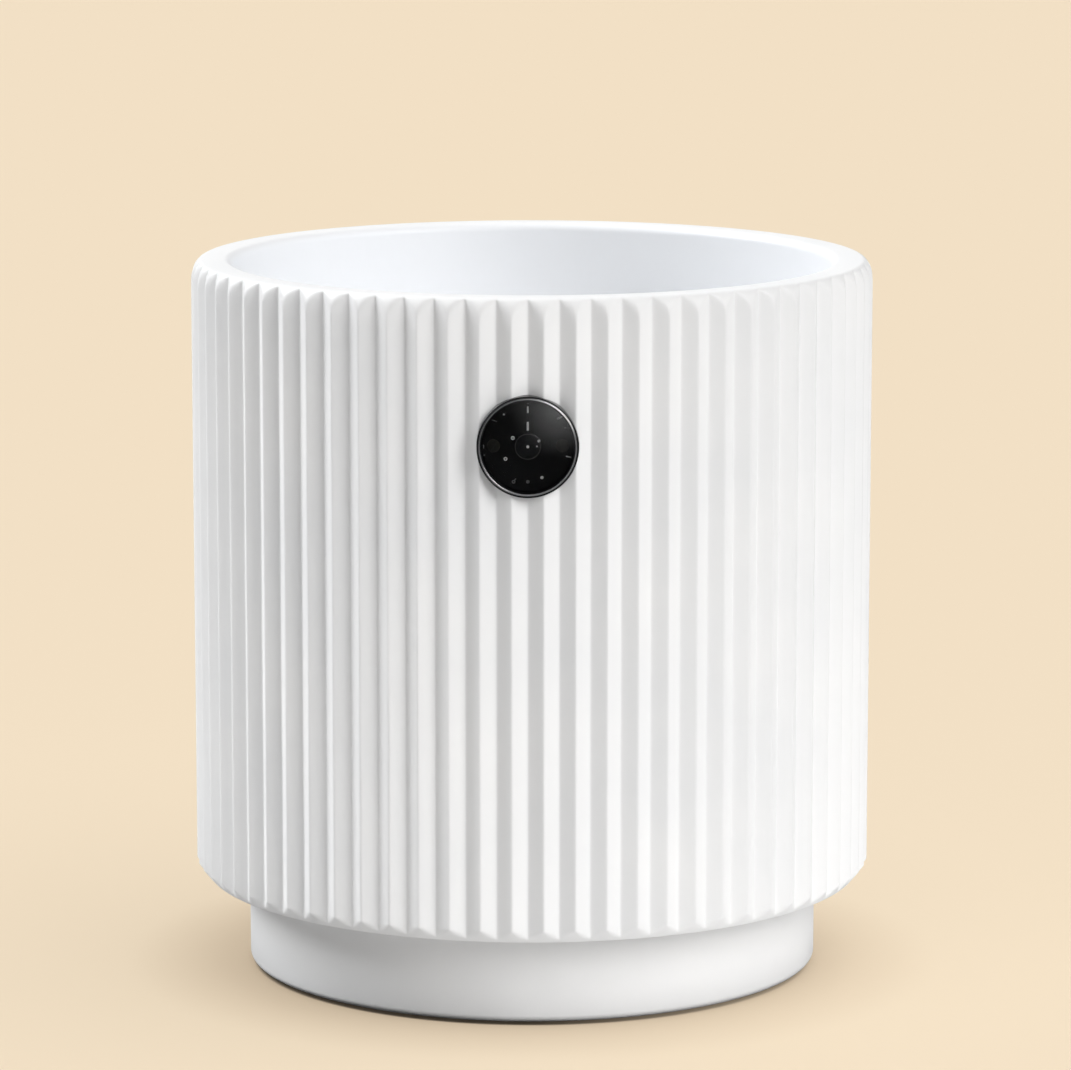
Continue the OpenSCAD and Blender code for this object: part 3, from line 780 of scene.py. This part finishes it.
class PLANTER_OT_stage(Operator):
    """Set the camera, the pale floor and the soft light"""

    bl_idname = "planter.stage"
    bl_label = "Stage"

    def execute(self, context):
        scene = context.scene
        stage = scene.planter.stage
        scene.view_settings.view_transform = "Standard"
        self.camera(scene, stage)
        floor = self.floor(stage)
        self.room(scene, stage)
        self.card(stage)
        key = (stage.key, stage.key_from, stage.key_spread, stage.key_tint)
        back = (stage.back, stage.back_from, stage.back_spread, stage.back_tint)
        under = (stage.under, stage.under_from, stage.under_spread, WHITE)
        self.lamp("key_light", key, floor, "EXCLUDE")
        self.lamp("back_light", back, floor, "EXCLUDE")
        self.lamp("floor_light", under, floor, "INCLUDE")
        return {"FINISHED"}

    def camera(self, scene, stage):
        """A camera on a circle round the pot, turned to look down a little."""
        data = bpy.data.cameras.new("camera")
        data.lens = stage.focal / PICTURE_WIDTH * SENSOR_WIDTH
        data.sensor_width = SENSOR_WIDTH
        data.clip_end = CAMERA_END
        camera = bpy.data.objects.new("camera", data)
        side, front = math.sin(stage.orbit), math.cos(stage.orbit)
        camera.location = (stage.distance * side, -stage.distance * front, stage.height)
        camera.rotation_euler = (math.pi / 2 - stage.pitch, 0.0, stage.orbit - stage.yaw)
        scene.collection.objects.link(camera)
        scene.camera = camera

    def floor(self, stage):
        """A wide plain floor: the camera sees its glow plus the light on it, so that the shadow is soft, and
        the glow carries a painted shadow at the foot.
        """
        half = stage.floor_size
        square = np.array([(-half, -half, 0.0), (half, -half, 0.0), (half, half, 0.0), (-half, half, 0.0)])
        floor = new_object("floor", (square, np.array([[0, 1, 2, 3]])))
        material, tree, shader = bare_material("floor_paper")
        rays = add(tree, "ShaderNodeLightPath").outputs
        place_on = on_object(tree)
        parts = add(tree, "ShaderNodeSeparateXYZ", {0: place_on}).outputs
        out = reach_of(tree, place_on)
        tint, glow = self.floor_glow(tree, parts["X"], stage)
        tree.links.new(self.floor_base(tree, rays, parts, out, stage), shader["Base Color"])
        tree.links.new(tint, shader["Emission Color"])
        tree.links.new(calc(tree, "MULTIPLY", rays["Is Camera Ray"], glow), shader["Emission Strength"])
        shader["Roughness"].default_value = 1.0
        shader["Specular IOR Level"].default_value = 0.0
        floor.data.materials.append(material)
        return floor

    def floor_base(self, tree, rays, parts, out, stage):
        """The colour that the floor gives back, by who sees it.

        The pot gets a paler one than the camera, dimmed far off, and with a painted shadow in a band at the
        foot, which is wider on the shaded side. Metal and glass see a grey that goes dark to the front.
        """
        side = SAUCER_HIGH.x
        # Painted shadow: the bounce goes dark in a band at the foot, whose width grows towards the shaded
        # side
        dimmed = remap(tree, parts["X"], -side, 0.0, side + stage.bounce_shade, side + stage.bounce_near)
        near = remap(tree, out, side, dimmed, 0.0, 1.0)
        far = remap(tree, out, side + stage.bounce_fall, side + stage.bounce_far, 1.0, stage.bounce_left)
        bounce = blended(tree, calc(tree, "MULTIPLY", near, far), BLACK, tuple(stage.bounce_colour))
        base = blended(tree, rays["Is Diffuse Ray"], tuple(stage.floor_lit), bounce)
        front = remap(tree, parts["Y"], -stage.dark_near, -stage.dark_far, 0.0, 1.0)
        mirrored = blended(tree, front, tuple(stage.mirrored_floor), tuple(stage.dark_end))
        return blended(tree, rays["Is Glossy Ray"], base, mirrored)

    def floor_glow(self, tree, x, stage):
        """The colour and the strength of the floor's glow, with a painted shadow: less near the foot, and
        none in a thin line under its edge.

        Both follow how open the floor is within a reach, and the painted dark line fades towards the lit
        side.
        """
        # Painted contact shadow: the glow is dimmed and tinted where the floor is closed in near the foot
        openness = add(tree, "ShaderNodeAmbientOcclusion", {"Distance": stage.contact_reach}).outputs["AO"]
        tint = blended(tree, openness, tuple(stage.contact_colour), tuple(stage.backdrop))
        least = stage.floor_glow * (1 - stage.contact_shade)
        glow = remap(tree, openness, 0.0, 1.0, least, stage.floor_glow)
        # Painted shadow line: the glow goes out where the floor is closed in within a short reach, under the
        # foot's edge
        seam = add(tree, "ShaderNodeAmbientOcclusion", {"Distance": stage.seam_reach}).outputs["AO"]
        depth = remap(tree, x, 0.0, SAUCER_HIGH.x, 1.0, stage.seam_fade)
        dark = calc(tree, "MULTIPLY", remap(tree, seam, stage.seam_core, stage.seam_edge, 1.0, 0.0), depth)
        return tint, calc(tree, "MULTIPLY", glow, calc(tree, "SUBTRACT", 1.0, dark))

    def room(self, scene, stage):
        """Even light from all round; the camera sees the backdrop, and mirrors a room with a dark end."""
        world = bpy.data.worlds.new("room")
        scene.world = world
        world.use_nodes = True
        tree = world.node_tree
        tree.nodes.clear()
        output = tree.nodes.new("ShaderNodeOutputWorld")
        rays = add(tree, "ShaderNodeLightPath").outputs
        mirrored = calc(tree, "MAXIMUM", rays["Is Glossy Ray"], rays["Is Transmission Ray"])
        seen = calc(tree, "MAXIMUM", rays["Is Camera Ray"], mirrored)
        toward = add(tree, "ShaderNodeTexCoord").outputs["Generated"]
        forward = add(tree, "ShaderNodeSeparateXYZ", {0: toward}).outputs["Y"]
        depth = remap(tree, forward, -stage.dark_from, -stage.dark_to, 0.0, 1.0)
        mirror = blended(tree, depth, tuple(stage.mirrored_room), tuple(stage.dark_end))
        view = blended(tree, mirrored, tuple(stage.backdrop), mirror)
        light = add(tree, "ShaderNodeBackground", {"Color": WHITE, "Strength": stage.ambient})
        sight = add(tree, "ShaderNodeBackground", {"Color": view, "Strength": 1.0})
        mix = add(tree, "ShaderNodeMixShader", {0: seen, 1: light.outputs[0], 2: sight.outputs[0]})
        tree.links.new(mix.outputs[0], output.inputs["Surface"])

    def card(self, stage):
        """A round card before the pot, whose glow fades from its middle outwards; only mirrors see it."""
        points, faces = turned(np.array([(0.0, 0.0), (stage.card_radius, 0.0)]), False, columns=48)
        x, z, _ = points.T
        middle = np.array(stage.card_place)
        card = new_object("pale_card", (np.stack([x, 0 * x, z], axis=1) + middle, faces))
        material, tree, shader = bare_material("card_glow")
        centring = {"Vector": on_object(tree), "Location": tuple(-middle)}
        reach = reach_of(tree, add(tree, "ShaderNodeMapping", centring).outputs["Vector"])
        fade = remap(tree, reach, 0.0, stage.card_radius, 1.0, 0.0)
        soft = calc(tree, "POWER", fade, stage.card_fade)
        tree.links.new(calc(tree, "MULTIPLY", soft, stage.card_glow), shader["Emission Strength"])
        shader["Emission Color"].default_value = WHITE
        shader["Base Color"].default_value = tuple(stage.dark_end)
        card.data.materials.append(material)
        card.visible_camera = False
        card.visible_diffuse = False
        card.visible_transmission = False
        card.visible_shadow = False

    def lamp(self, name, light, floor, link):
        """A wide soft light from far off, at a level of 1 where it lights white to white.

        Its light leaves the floor out, or falls on nothing else.
        """
        level, stands, spread, tint = light
        azimuth, elevation = stands
        data = bpy.data.lights.new(name, "SUN")
        data.energy = level * math.pi
        data.angle = spread
        data.color = tint[:3]
        lamp = bpy.data.objects.new(name, data)
        lamp.rotation_euler = (math.pi / 2 - elevation, 0.0, azimuth)
        bpy.context.scene.collection.objects.link(lamp)
        reached = bpy.data.collections.new(name + "_floor")
        reached.objects.link(floor)
        reached.collection_objects[0].light_linking.link_state = link
        lamp.light_linking.receiver_collection = reached


class PLANTER_OT_pot(Operator):
    """Build the glazed fluted pot with its hole for the gauge"""

    bl_idname = "planter.pot"
    bl_label = "Pot"

    def execute(self, context):
        planter = context.scene.planter
        sizes, finish = planter.pot, planter.finish
        pot = new_object("glazed_pot", pot_shape(sizes), POT_SHARP)
        cut(pot, pot_cuts(sizes, planter.gauge), POT_SHARP)
        material = glaze("pot_glaze", finish.glaze, finish.glaze_pool)
        # The pot's inside is given painted light, a paler and bluer glaze colour
        inside = POT_HIGH.x - sizes.flute_depth - sizes.wall
        line_pot(material, finish.lining, inside, sizes.lip_round)
        place(pot, material, "pot", "pot_ceramic", "fluted_pot")
        return {"FINISHED"}


class PLANTER_OT_saucer(Operator):
    """Build the glazed saucer, its rubber pad and the drain screen"""

    bl_idname = "planter.saucer"
    bl_label = "Saucer"

    def execute(self, context):
        planter = context.scene.planter
        sizes, finish = planter.saucer, planter.finish
        bottom, top, side = SAUCER_LOW.z, SAUCER_HIGH.z, SAUCER_HIGH.x
        inside, well = side - sizes.wall, bottom + sizes.floor
        pad_side = PAD_HIGH.x + sizes.pad_gap
        saucer = new_object("glazed_saucer", turned_corners([
            (0.0, PAD_HIGH.z, 0.0), (pad_side, PAD_HIGH.z, 0.2 * MM), (pad_side, bottom, 0.4 * MM),
            (side, bottom, sizes.foot_round), (side, top, sizes.rim_round), (inside, top, sizes.rim_round),
            (inside, well, sizes.inside_round), (0.0, well, 0.0),
        ], False, columns=256, steps=8))
        material = glaze("saucer_glaze", finish.saucer, finish.saucer_pool)
        place(saucer, material, "saucer", "saucer_ceramic", "drip_saucer")
        pad = new_object("foot_pad", turned_corners([
            (0.0, PAD_LOW.z, 0.0), (PAD_HIGH.x, PAD_LOW.z, 0.4 * MM), (PAD_HIGH.x, PAD_HIGH.z, 0.3 * MM),
            (0.0, PAD_HIGH.z, 0.0),
        ], False, columns=192))
        rubber = coated("pad_rubber", finish.rubber, roughness=0.7, grain=1800.0, depth=0.05 * MM)
        place(pad, rubber, "saucer", "pad_rubber", "base_pad")
        screen = new_object("drain_mesh", self.screen(sizes))
        plastic = coated("screen_plastic", finish.screen, roughness=0.55, grain=2400.0, depth=0.02 * MM)
        place(screen, plastic, "pot", "screen_plastic", "drain_screen")
        return {"FINISHED"}

    def screen(self, sizes):
        """A net of two layers of strands, each cut to its chord of the border, and a round border."""
        low, high, side = SCREEN_LOW.z, SCREEN_HIGH.z, SCREEN_HIGH.x
        rounds = (0.2 * MM, 0.2 * MM, 0.3 * MM, 0.3 * MM)
        border = collar(side - sizes.border, side, low, high, columns=128, rounds=rounds)
        thick = (high - low) * sizes.strand_share
        lower, upper = low + thick / 2, high - thick / 2
        reach = side - sizes.border / 2
        count = int(reach / sizes.mesh_pitch)
        strands = []
        for step in range(-count, count):
            off = (step + 0.5) * sizes.mesh_pitch
            half = math.sqrt(reach**2 - off**2)
            strands.append(strand((off, -half, lower), (off, half, lower), sizes.strand_width, thick))
            strands.append(strand((-half, off, upper), (half, off, upper), sizes.strand_width, thick))
        return joined([border, *strands])


class PLANTER_OT_gauge_head(Operator):
    """Build the gauge's black case, its silver ring and its window"""

    bl_idname = "planter.gauge_head"
    bl_label = "Gauge head"

    def execute(self, context):
        planter = context.scene.planter
        sizes, finish = planter.gauge, planter.finish
        paint = coated("case_paint", finish.black, roughness=0.16, grain=3000.0, depth=0.003 * MM, lift=1.4)
        gauge_piece("gauge_cup", self.case(sizes), paint, "pot", "case_black", "gauge_case", sharp=30.0)
        back, front, side = span("lens_ring")
        rounds = (0.0, 0.0, sizes.ring_round, sizes.ring_inner)
        ring = collar(sizes.window, side, back, front, columns=192, rounds=rounds)
        silver = metal("ring_silver", finish.silver, roughness=0.3, fineness=6000.0)
        gauge_piece("window_ring", ring, silver, "pot", "ring_silver", "lens_ring")
        glass = window_glass("clear_glass", finish.glass)
        gauge_piece("window_glass", self.lens(sizes), glass, "pot", "lens_clear", "gauge_lens", sharp=30.0)
        return {"FINISHED"}

    def case(self, sizes):
        """A cup with a thin front lip and a shank; behind the nut, the shank's outline waves along and round.

        The thread's depth at a place is a triangle wave of its height over the pitch less its turn.
        """
        back, front, side = span("gauge_case")
        base = span("wall_gasket")[1]
        floor = base + sizes.case_back
        shoulder = floor - sizes.case_back / 2
        ledge = span("lens_seal")[0]
        lip = side - sizes.lip
        thread_start = span("lock_nut")[0] + sizes.thread_pitch
        thread_end = back + 0.6 * MM
        cup = outline([
            (sizes.bush_bore, floor, 0.0), (sizes.dial_bore, floor, 0.2 * MM), (sizes.dial_bore, ledge, 0.0),
            (lip, ledge, 0.0), (lip, front, 0.08 * MM), (side, front, 0.25 * MM), (side, base, sizes.edge),
            (sizes.shank_radius, base, 0.0), (sizes.shank_radius, thread_start, 0.0),
        ], False)
        end = outline([
            (sizes.shank_radius, thread_start, 0.0), (sizes.shank_radius, back, 0.5 * MM),
            (sizes.stem_bore, back, 0.2 * MM), (sizes.stem_bore, shoulder, 0.0),
            (sizes.bush_bore, shoulder, 0.0), (sizes.bush_bore, floor, 0.0),
        ], False)
        heights = np.linspace(thread_start, thread_end, THREAD_ROWS + 1)[1:]
        thread = np.stack([np.full_like(heights, sizes.shank_radius), heights], axis=1)
        columns = 160
        points, faces = turned(np.concatenate([cup, thread, end[1:-1]]), True, columns)
        turn = np.arctan2(points[:, 0], points[:, 1]) / (2 * math.pi)
        wave = np.abs((points[:, 2] / sizes.thread_pitch - turn) % 1.0 - 0.5) * 2
        threaded = np.zeros(len(points))
        threaded[len(cup) * columns : (len(cup) + len(thread)) * columns] = 1.0
        return drawn_in(points, 1 - threaded * wave * sizes.thread_depth / sizes.shank_radius), faces

    def lens(self, sizes):
        """A flat back and edge, with a front that is a shallow cap of a sphere."""
        back, front, side = span("gauge_lens")
        edge = back + sizes.lens_edge
        rise = front - edge
        cap_side = sizes.window - sizes.fit
        ball = (cap_side**2 + rise**2) / (2 * rise)
        r = np.linspace(cap_side, 0.0, 24)
        cap = np.stack([r, front - ball + np.sqrt(ball**2 - r**2)], axis=1)
        rim = outline([
            (0.0, back, 0.0), (side, back, 0.1 * MM), (side, edge, 0.1 * MM), (cap_side, edge, 0.0),
        ], False)
        return turned(np.concatenate([rim, cap[1:]]), False, columns=160)


class PLANTER_OT_gauge_dial(Operator):
    """Build the dial with its printed marks and screws"""

    bl_idname = "planter.gauge_dial"
    bl_label = "Gauge dial"

    # Printed marks, in millimetres right of the dial's middle and above it: dots with their radius,
    # small rings, and dashes from end to end
    bright_dots = ((-6.5, 8.65, 0.26), (8.3, 7.5, 0.22), (9.1, 7.95, 0.24), (3.85, -8.75, 0.44))
    bright_rings = ((-4.1, 2.15), (-6.1, -3.6))
    bright_dashes = ((8.3, 7.5, 9.1, 7.95), (10.4, -2.85, 11.8, -3.2))
    faint_dots = ((10.2, 4.95, 0.28), (0.0, -9.95, 0.5), (-11.9, -2.55, 0.26))
    faint_rings = ((-3.9, -9.95),)
    faint_dashes = ((-9.9, 7.15, -8.4, 6.65), (-12.1, 0.25, -12.1, -0.75), (-3.7, -9.55, -3.2, -9.05))
    # How the slots of the left and the right screw are turned, in degrees
    slot_turns = (35, -15)

    def execute(self, context):
        planter = context.scene.planter
        sizes, finish = planter.gauge, planter.finish
        back, front, side = span("dial_plate")
        rounds = (0.0, 0.0, 0.08 * MM, 0.05 * MM)
        plate = collar(sizes.spindle_hole, side, back, front, columns=160, rounds=rounds)
        paint = coated("dial_paint", finish.dial, roughness=0.24, grain=2200.0, depth=0.004 * MM)
        gauge_piece("dial_face", plate, paint, "pot", "dial_black", "dial_plate")
        white = coated("dial_white", finish.white, roughness=0.6, grain=4000.0, depth=0.005 * MM, lift=1.1)
        bright = self.marks(sizes, front, self.bright_dots, self.bright_rings, self.bright_dashes)
        gauge_piece("dial_marks", bright, white, "pot", "pointer_white")
        grey = coated("dial_grey", finish.grey, roughness=0.6, grain=4000.0, depth=0.005 * MM, lift=1.3)
        faint = self.marks(sizes, front, self.faint_dots, self.faint_rings, self.faint_dashes)
        gauge_piece("dial_scale", faint, grey, "pot", "pointer_white")
        screws = new_object("slotted_screws", on_gauge(self.screws(sizes)))
        cut(screws, on_gauge(self.slots(sizes)), 30.0)
        dark = coated(
            "screw_black", finish.screw, roughness=0.5, grain=5000.0, depth=0.004 * MM, lift=1.5, gloss=0.15
        )
        place(screws, dark, "pot", "screw_black", "dial_screws")
        return {"FINISHED"}

    def marks(self, sizes, front, dots, rings, dashes):
        """Dots, small rings and dashes, each a thin plate on the dial."""
        top = front + sizes.print_height
        half = sizes.dash_width / 2
        ring = collar(sizes.circle_inner, sizes.circle_outer, front, top, columns=28)
        shapes = [spot(radius * MM, front, top, x * MM, y * MM) for x, y, radius in dots]
        shapes += [moved(ring, (x * MM, y * MM, 0.0)) for x, y in rings]
        for x, y, end_x, end_y in dashes:
            reach = math.hypot(end_x - x, end_y - y) * MM
            turn = math.atan2(end_x - x, end_y - y)
            dash = block((-half, 0.0, front), (half, reach, top), turn=turn)
            shapes.append(moved(dash, (x * MM, y * MM, 0.0)))
        return joined(shapes)

    def screws(self, sizes):
        """Two low domed heads on plain shanks."""
        back, front, _ = span("dial_screws")
        plate_top = span("dial_plate")[1]
        shank, head = sizes.screw_shank, sizes.screw_radius
        flat = head * 0.6
        dome = plate_top + (front - plate_top) * 0.7
        screw = turned_corners([
            (0.0, back, 0.0), (shank, back, 0.0), (shank, plate_top, 0.0), (head, plate_top, 0.0),
            (head, dome, 0.15 * MM), (flat, front, 0.5 * MM), (0.0, front, 0.0),
        ], False, columns=64)
        return joined([moved(screw, (side * sizes.screw_x, 0.0, 0.0)) for side in (-1, 1)])

    def slots(self, sizes):
        """The slots of the two heads, turned a little from each other."""
        front = span("dial_screws")[1]
        half, long = sizes.slot_width / 2, sizes.screw_radius * 1.2
        low, high = (-half, -long, front - sizes.slot_depth), (half, long, front + 1 * MM)
        return joined([
            moved(block(low, high, turn=math.radians(turn)), (side * sizes.screw_x, 0.0, 0.0))
            for side, turn in zip((-1, 1), self.slot_turns)
        ])


class PLANTER_OT_gauge_needle(Operator):
    """Build the pointer with its dark stretches, and its hub cap with a painted sheen line and painted white
    highlights
    """

    bl_idname = "planter.gauge_needle"
    bl_label = "Gauge needle"

    # Painted highlights as white dots, in millimetres right of the axis and above it, with their radius: the
    # spindle's shine and glints on the hub cap
    spindle_dots = ((0.0, 0.0, 0.4),)
    cap_dots = ((3.05, 1.6, 0.4), (2.5, 0.1, 0.24))

    def execute(self, context):
        planter = context.scene.planter
        sizes, finish = planter.gauge, planter.finish
        back, front, _ = span("pointer")
        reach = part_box("pointer")[1].z - GAUGE_Z
        half = sizes.root_width / 2
        taper = sizes.tip_width / sizes.root_width
        boss = collar(sizes.spindle_radius, sizes.boss_radius, back, front, columns=48)
        blade = block((-half, sizes.spindle_radius, back), (half, reach, front), taper)
        white = coated(
            "pointer_paint", finish.white, roughness=0.5, grain=4000.0, depth=0.005 * MM, lift=1.1
        )
        gauge_piece("pointer_blade", joined([boss, blade]), white, "needle", "pointer_white", "pointer")
        stretches = (
            (sizes.boss_radius, sizes.root_dark), (sizes.band_from, sizes.band_to), (sizes.tip_dark, reach),
        )
        bands = [
            self.band(sizes, start, end, half * (1 + (taper - 1) * start / reach), back, front)
            for start, end in stretches
        ]
        gloss = coated("hub_gloss", finish.black, roughness=0.2, grain=4000.0, depth=0.003 * MM)
        gauge_piece("pointer_band", joined(bands), gloss, "needle", "hub_black")
        back, front, side = span("pointer_hub")
        rounds = (0.0, 0.05 * MM, 0.25 * MM, 0.04 * MM)
        hub = collar(sizes.spindle_radius, side, back, front, columns=128, rounds=rounds, steps=6)
        gauge_piece("hub_cap", hub, gloss, "needle", "hub_black", "pointer_hub", sharp=25.0)
        # Painted sheen: a pale ring just inside the hub cap's edge, in place of the light on its rounding
        outer = side - sizes.line_inset
        ring = collar(outer - sizes.line_width, outer, front, front + sizes.print_height, columns=128)
        line = coated("hub_edge_sheen", finish.hub_edge_sheen, roughness=0.5, grain=4000.0, depth=0.003 * MM, lift=1.2)
        gauge_piece("hub_edge_sheen", ring, line, "needle", "hub_black")
        # Painted highlights: white dots for the spindle's shine and the glints on the hub cap
        gauge_piece("hub_painted_glints", self.mark(sizes, front), white, "needle", "pointer_white")
        return {"FINISHED"}

    def band(self, sizes, start, end, half, back, front):
        """A thin sleeve of black paint round a stretch of the pointer."""
        skin, taper = sizes.paint, 0.97
        return block((-half - skin, start, back - skin), (half + skin, end, front + skin), taper)

    def mark(self, sizes, cap):
        """White dots that are painted highlights: the shine on the spindle's end, and two glints on the hub
        cap.
        """
        return joined([
            spot(radius * MM, front, front + sizes.print_height, x * MM, y * MM)
            for front, dots in ((span("spindle")[1], self.spindle_dots), (cap, self.cap_dots))
            for x, y, radius in dots
        ])


class PLANTER_OT_gauge_fixing(Operator):
    """Build the stem, the nut, the washer and the gaskets"""

    bl_idname = "planter.gauge_fixing"
    bl_label = "Gauge fixing"

    def execute(self, context):
        planter = context.scene.planter
        sizes, finish = planter.gauge, planter.finish
        steel = metal("stem_steel", finish.steel, roughness=0.32, fineness=4200.0)
        rubber = coated("gauge_rubber", finish.rubber, roughness=0.75, grain=2200.0, depth=0.03 * MM)
        for name, node, material, slot, rounding in (
            ("outer_gasket", "wall_gasket", rubber, "gauge_rubber", 0.3 * MM),
            ("inside_gasket", "inner_gasket", rubber, "gauge_rubber", 0.3 * MM),
            ("steel_washer", "nut_washer", steel, "gauge_steel", 0.2 * MM),
        ):
            back, front, side = span(node)
            rounds = (0.0, rounding, rounding, 0.0)
            ring = collar(sizes.hole_radius, side, back, front, columns=128, rounds=rounds)
            gauge_piece(name, ring, material, "pot", slot, node)
        gauge_piece("hex_nut", self.nut(sizes), steel, "pot", "gauge_steel", "lock_nut", sharp=20.0)
        back, front, side = span("stem_tube")
        tube = collar(side - sizes.stem_wall, side, back, front, columns=64)
        gauge_piece("stem", tube, steel, "pot", "gauge_steel", "stem_tube")
        gauge_piece("stem_end", self.tip(sizes), steel, "pot", "gauge_steel", "stem_tip")
        return {"FINISHED"}

    def nut(self, sizes):
        """A hexagon: the radius is the lesser of the hexagon's and of a cone that turns off its corners."""
        back, front, corner = span("lock_nut")
        flat = corner * math.cos(math.pi / 6)
        chamfer = (corner - flat) * 0.6
        bore = sizes.shank_radius + sizes.fit
        rise = np.linspace(0.0, 1.0, 5)
        low = np.stack([flat + rise * (corner - flat), back + rise * chamfer], axis=1)
        high = np.stack([low[::-1, 0], front + back - low[::-1, 1]], axis=1)
        line = np.concatenate([low, high, [(bore, front), (bore, back)]])
        points, faces = turned(line, True, columns=192)
        turn = np.arctan2(points[:, 0], points[:, 1])
        side = flat / np.cos((turn + math.pi / 6) % (math.pi / 3) - math.pi / 6)
        radius = np.hypot(points[:, 0], points[:, 1])
        outer = radius > (bore + flat) / 2
        return drawn_in(points, np.where(outer, np.minimum(radius, side) / radius, 1.0)), faces

    def tip(self, sizes):
        """A round end with a plug that goes up into the tube."""
        back, front, side = span("stem_tip")
        plug = side - sizes.stem_wall - sizes.fit
        dome = arc((0.0, back + side), (side, side), -90, 0, 12)
        rest = np.array([(plug, back + side), (plug, front), (0.0, front)])
        return turned(np.concatenate([dome, rest]), False, columns=48)


class PLANTER_OT_hidden_works(Operator):
    """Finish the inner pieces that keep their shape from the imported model"""

    bl_idname = "planter.hidden_works"
    bl_label = "Inner works"

    def execute(self, context):
        finish = context.scene.planter.finish
        brass = metal("turned_brass", finish.brass, roughness=0.25, fineness=6000.0)
        looks = {
            "lens_seal": coated("seal_rubber", finish.rubber, roughness=0.7, grain=3000.0, depth=0.02 * MM),
            "spindle": metal("spindle_steel", finish.silver, roughness=0.2, fineness=7000.0),
            "front_bush": brass,
            "rear_bush": brass,
            "bimetal_helix": metal("bimetal_strip", finish.copper, roughness=0.35, fineness=5000.0),
        }
        for node, material in looks.items():
            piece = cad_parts[node]
            if not piece.material_slots:
                raise RuntimeError(f"{node} has no material slot")
            for slot in piece.material_slots:
                slot.material = material
        return {"FINISHED"}


STEPS = (
    PLANTER_OT_stage,
    PLANTER_OT_pot,
    PLANTER_OT_saucer,
    PLANTER_OT_gauge_head,
    PLANTER_OT_gauge_dial,
    PLANTER_OT_gauge_needle,
    PLANTER_OT_gauge_fixing,
    PLANTER_OT_hidden_works,
)


class PLANTER_PT_panel(Panel):
    """Lists the planter's steps in the sidebar"""

    bl_idname = "PLANTER_PT_panel"
    bl_label = "Fluted Planter"
    bl_space_type = "VIEW_3D"
    bl_region_type = "UI"
    bl_category = "Planter"

    def draw(self, context):
        for step in STEPS:
            self.layout.operator(step.bl_idname)


GROUPS = (PotSizes, SaucerSizes, GaugeSizes, Finishes, StageSettings, PlanterSettings)
CLASSES = (*GROUPS, *STEPS, PLANTER_PT_panel)


def register():
    for item in CLASSES:
        bpy.utils.register_class(item)
    bpy.types.Scene.planter = PointerProperty(type=PlanterSettings)


def unregister():
    del bpy.types.Scene.planter
    for item in reversed(CLASSES):
        bpy.utils.unregister_class(item)


def main():
    register()
    for step in STEPS:
        getattr(bpy.ops.planter, step.bl_idname.split(".")[1])()


if __name__ == "__main__":
    main()
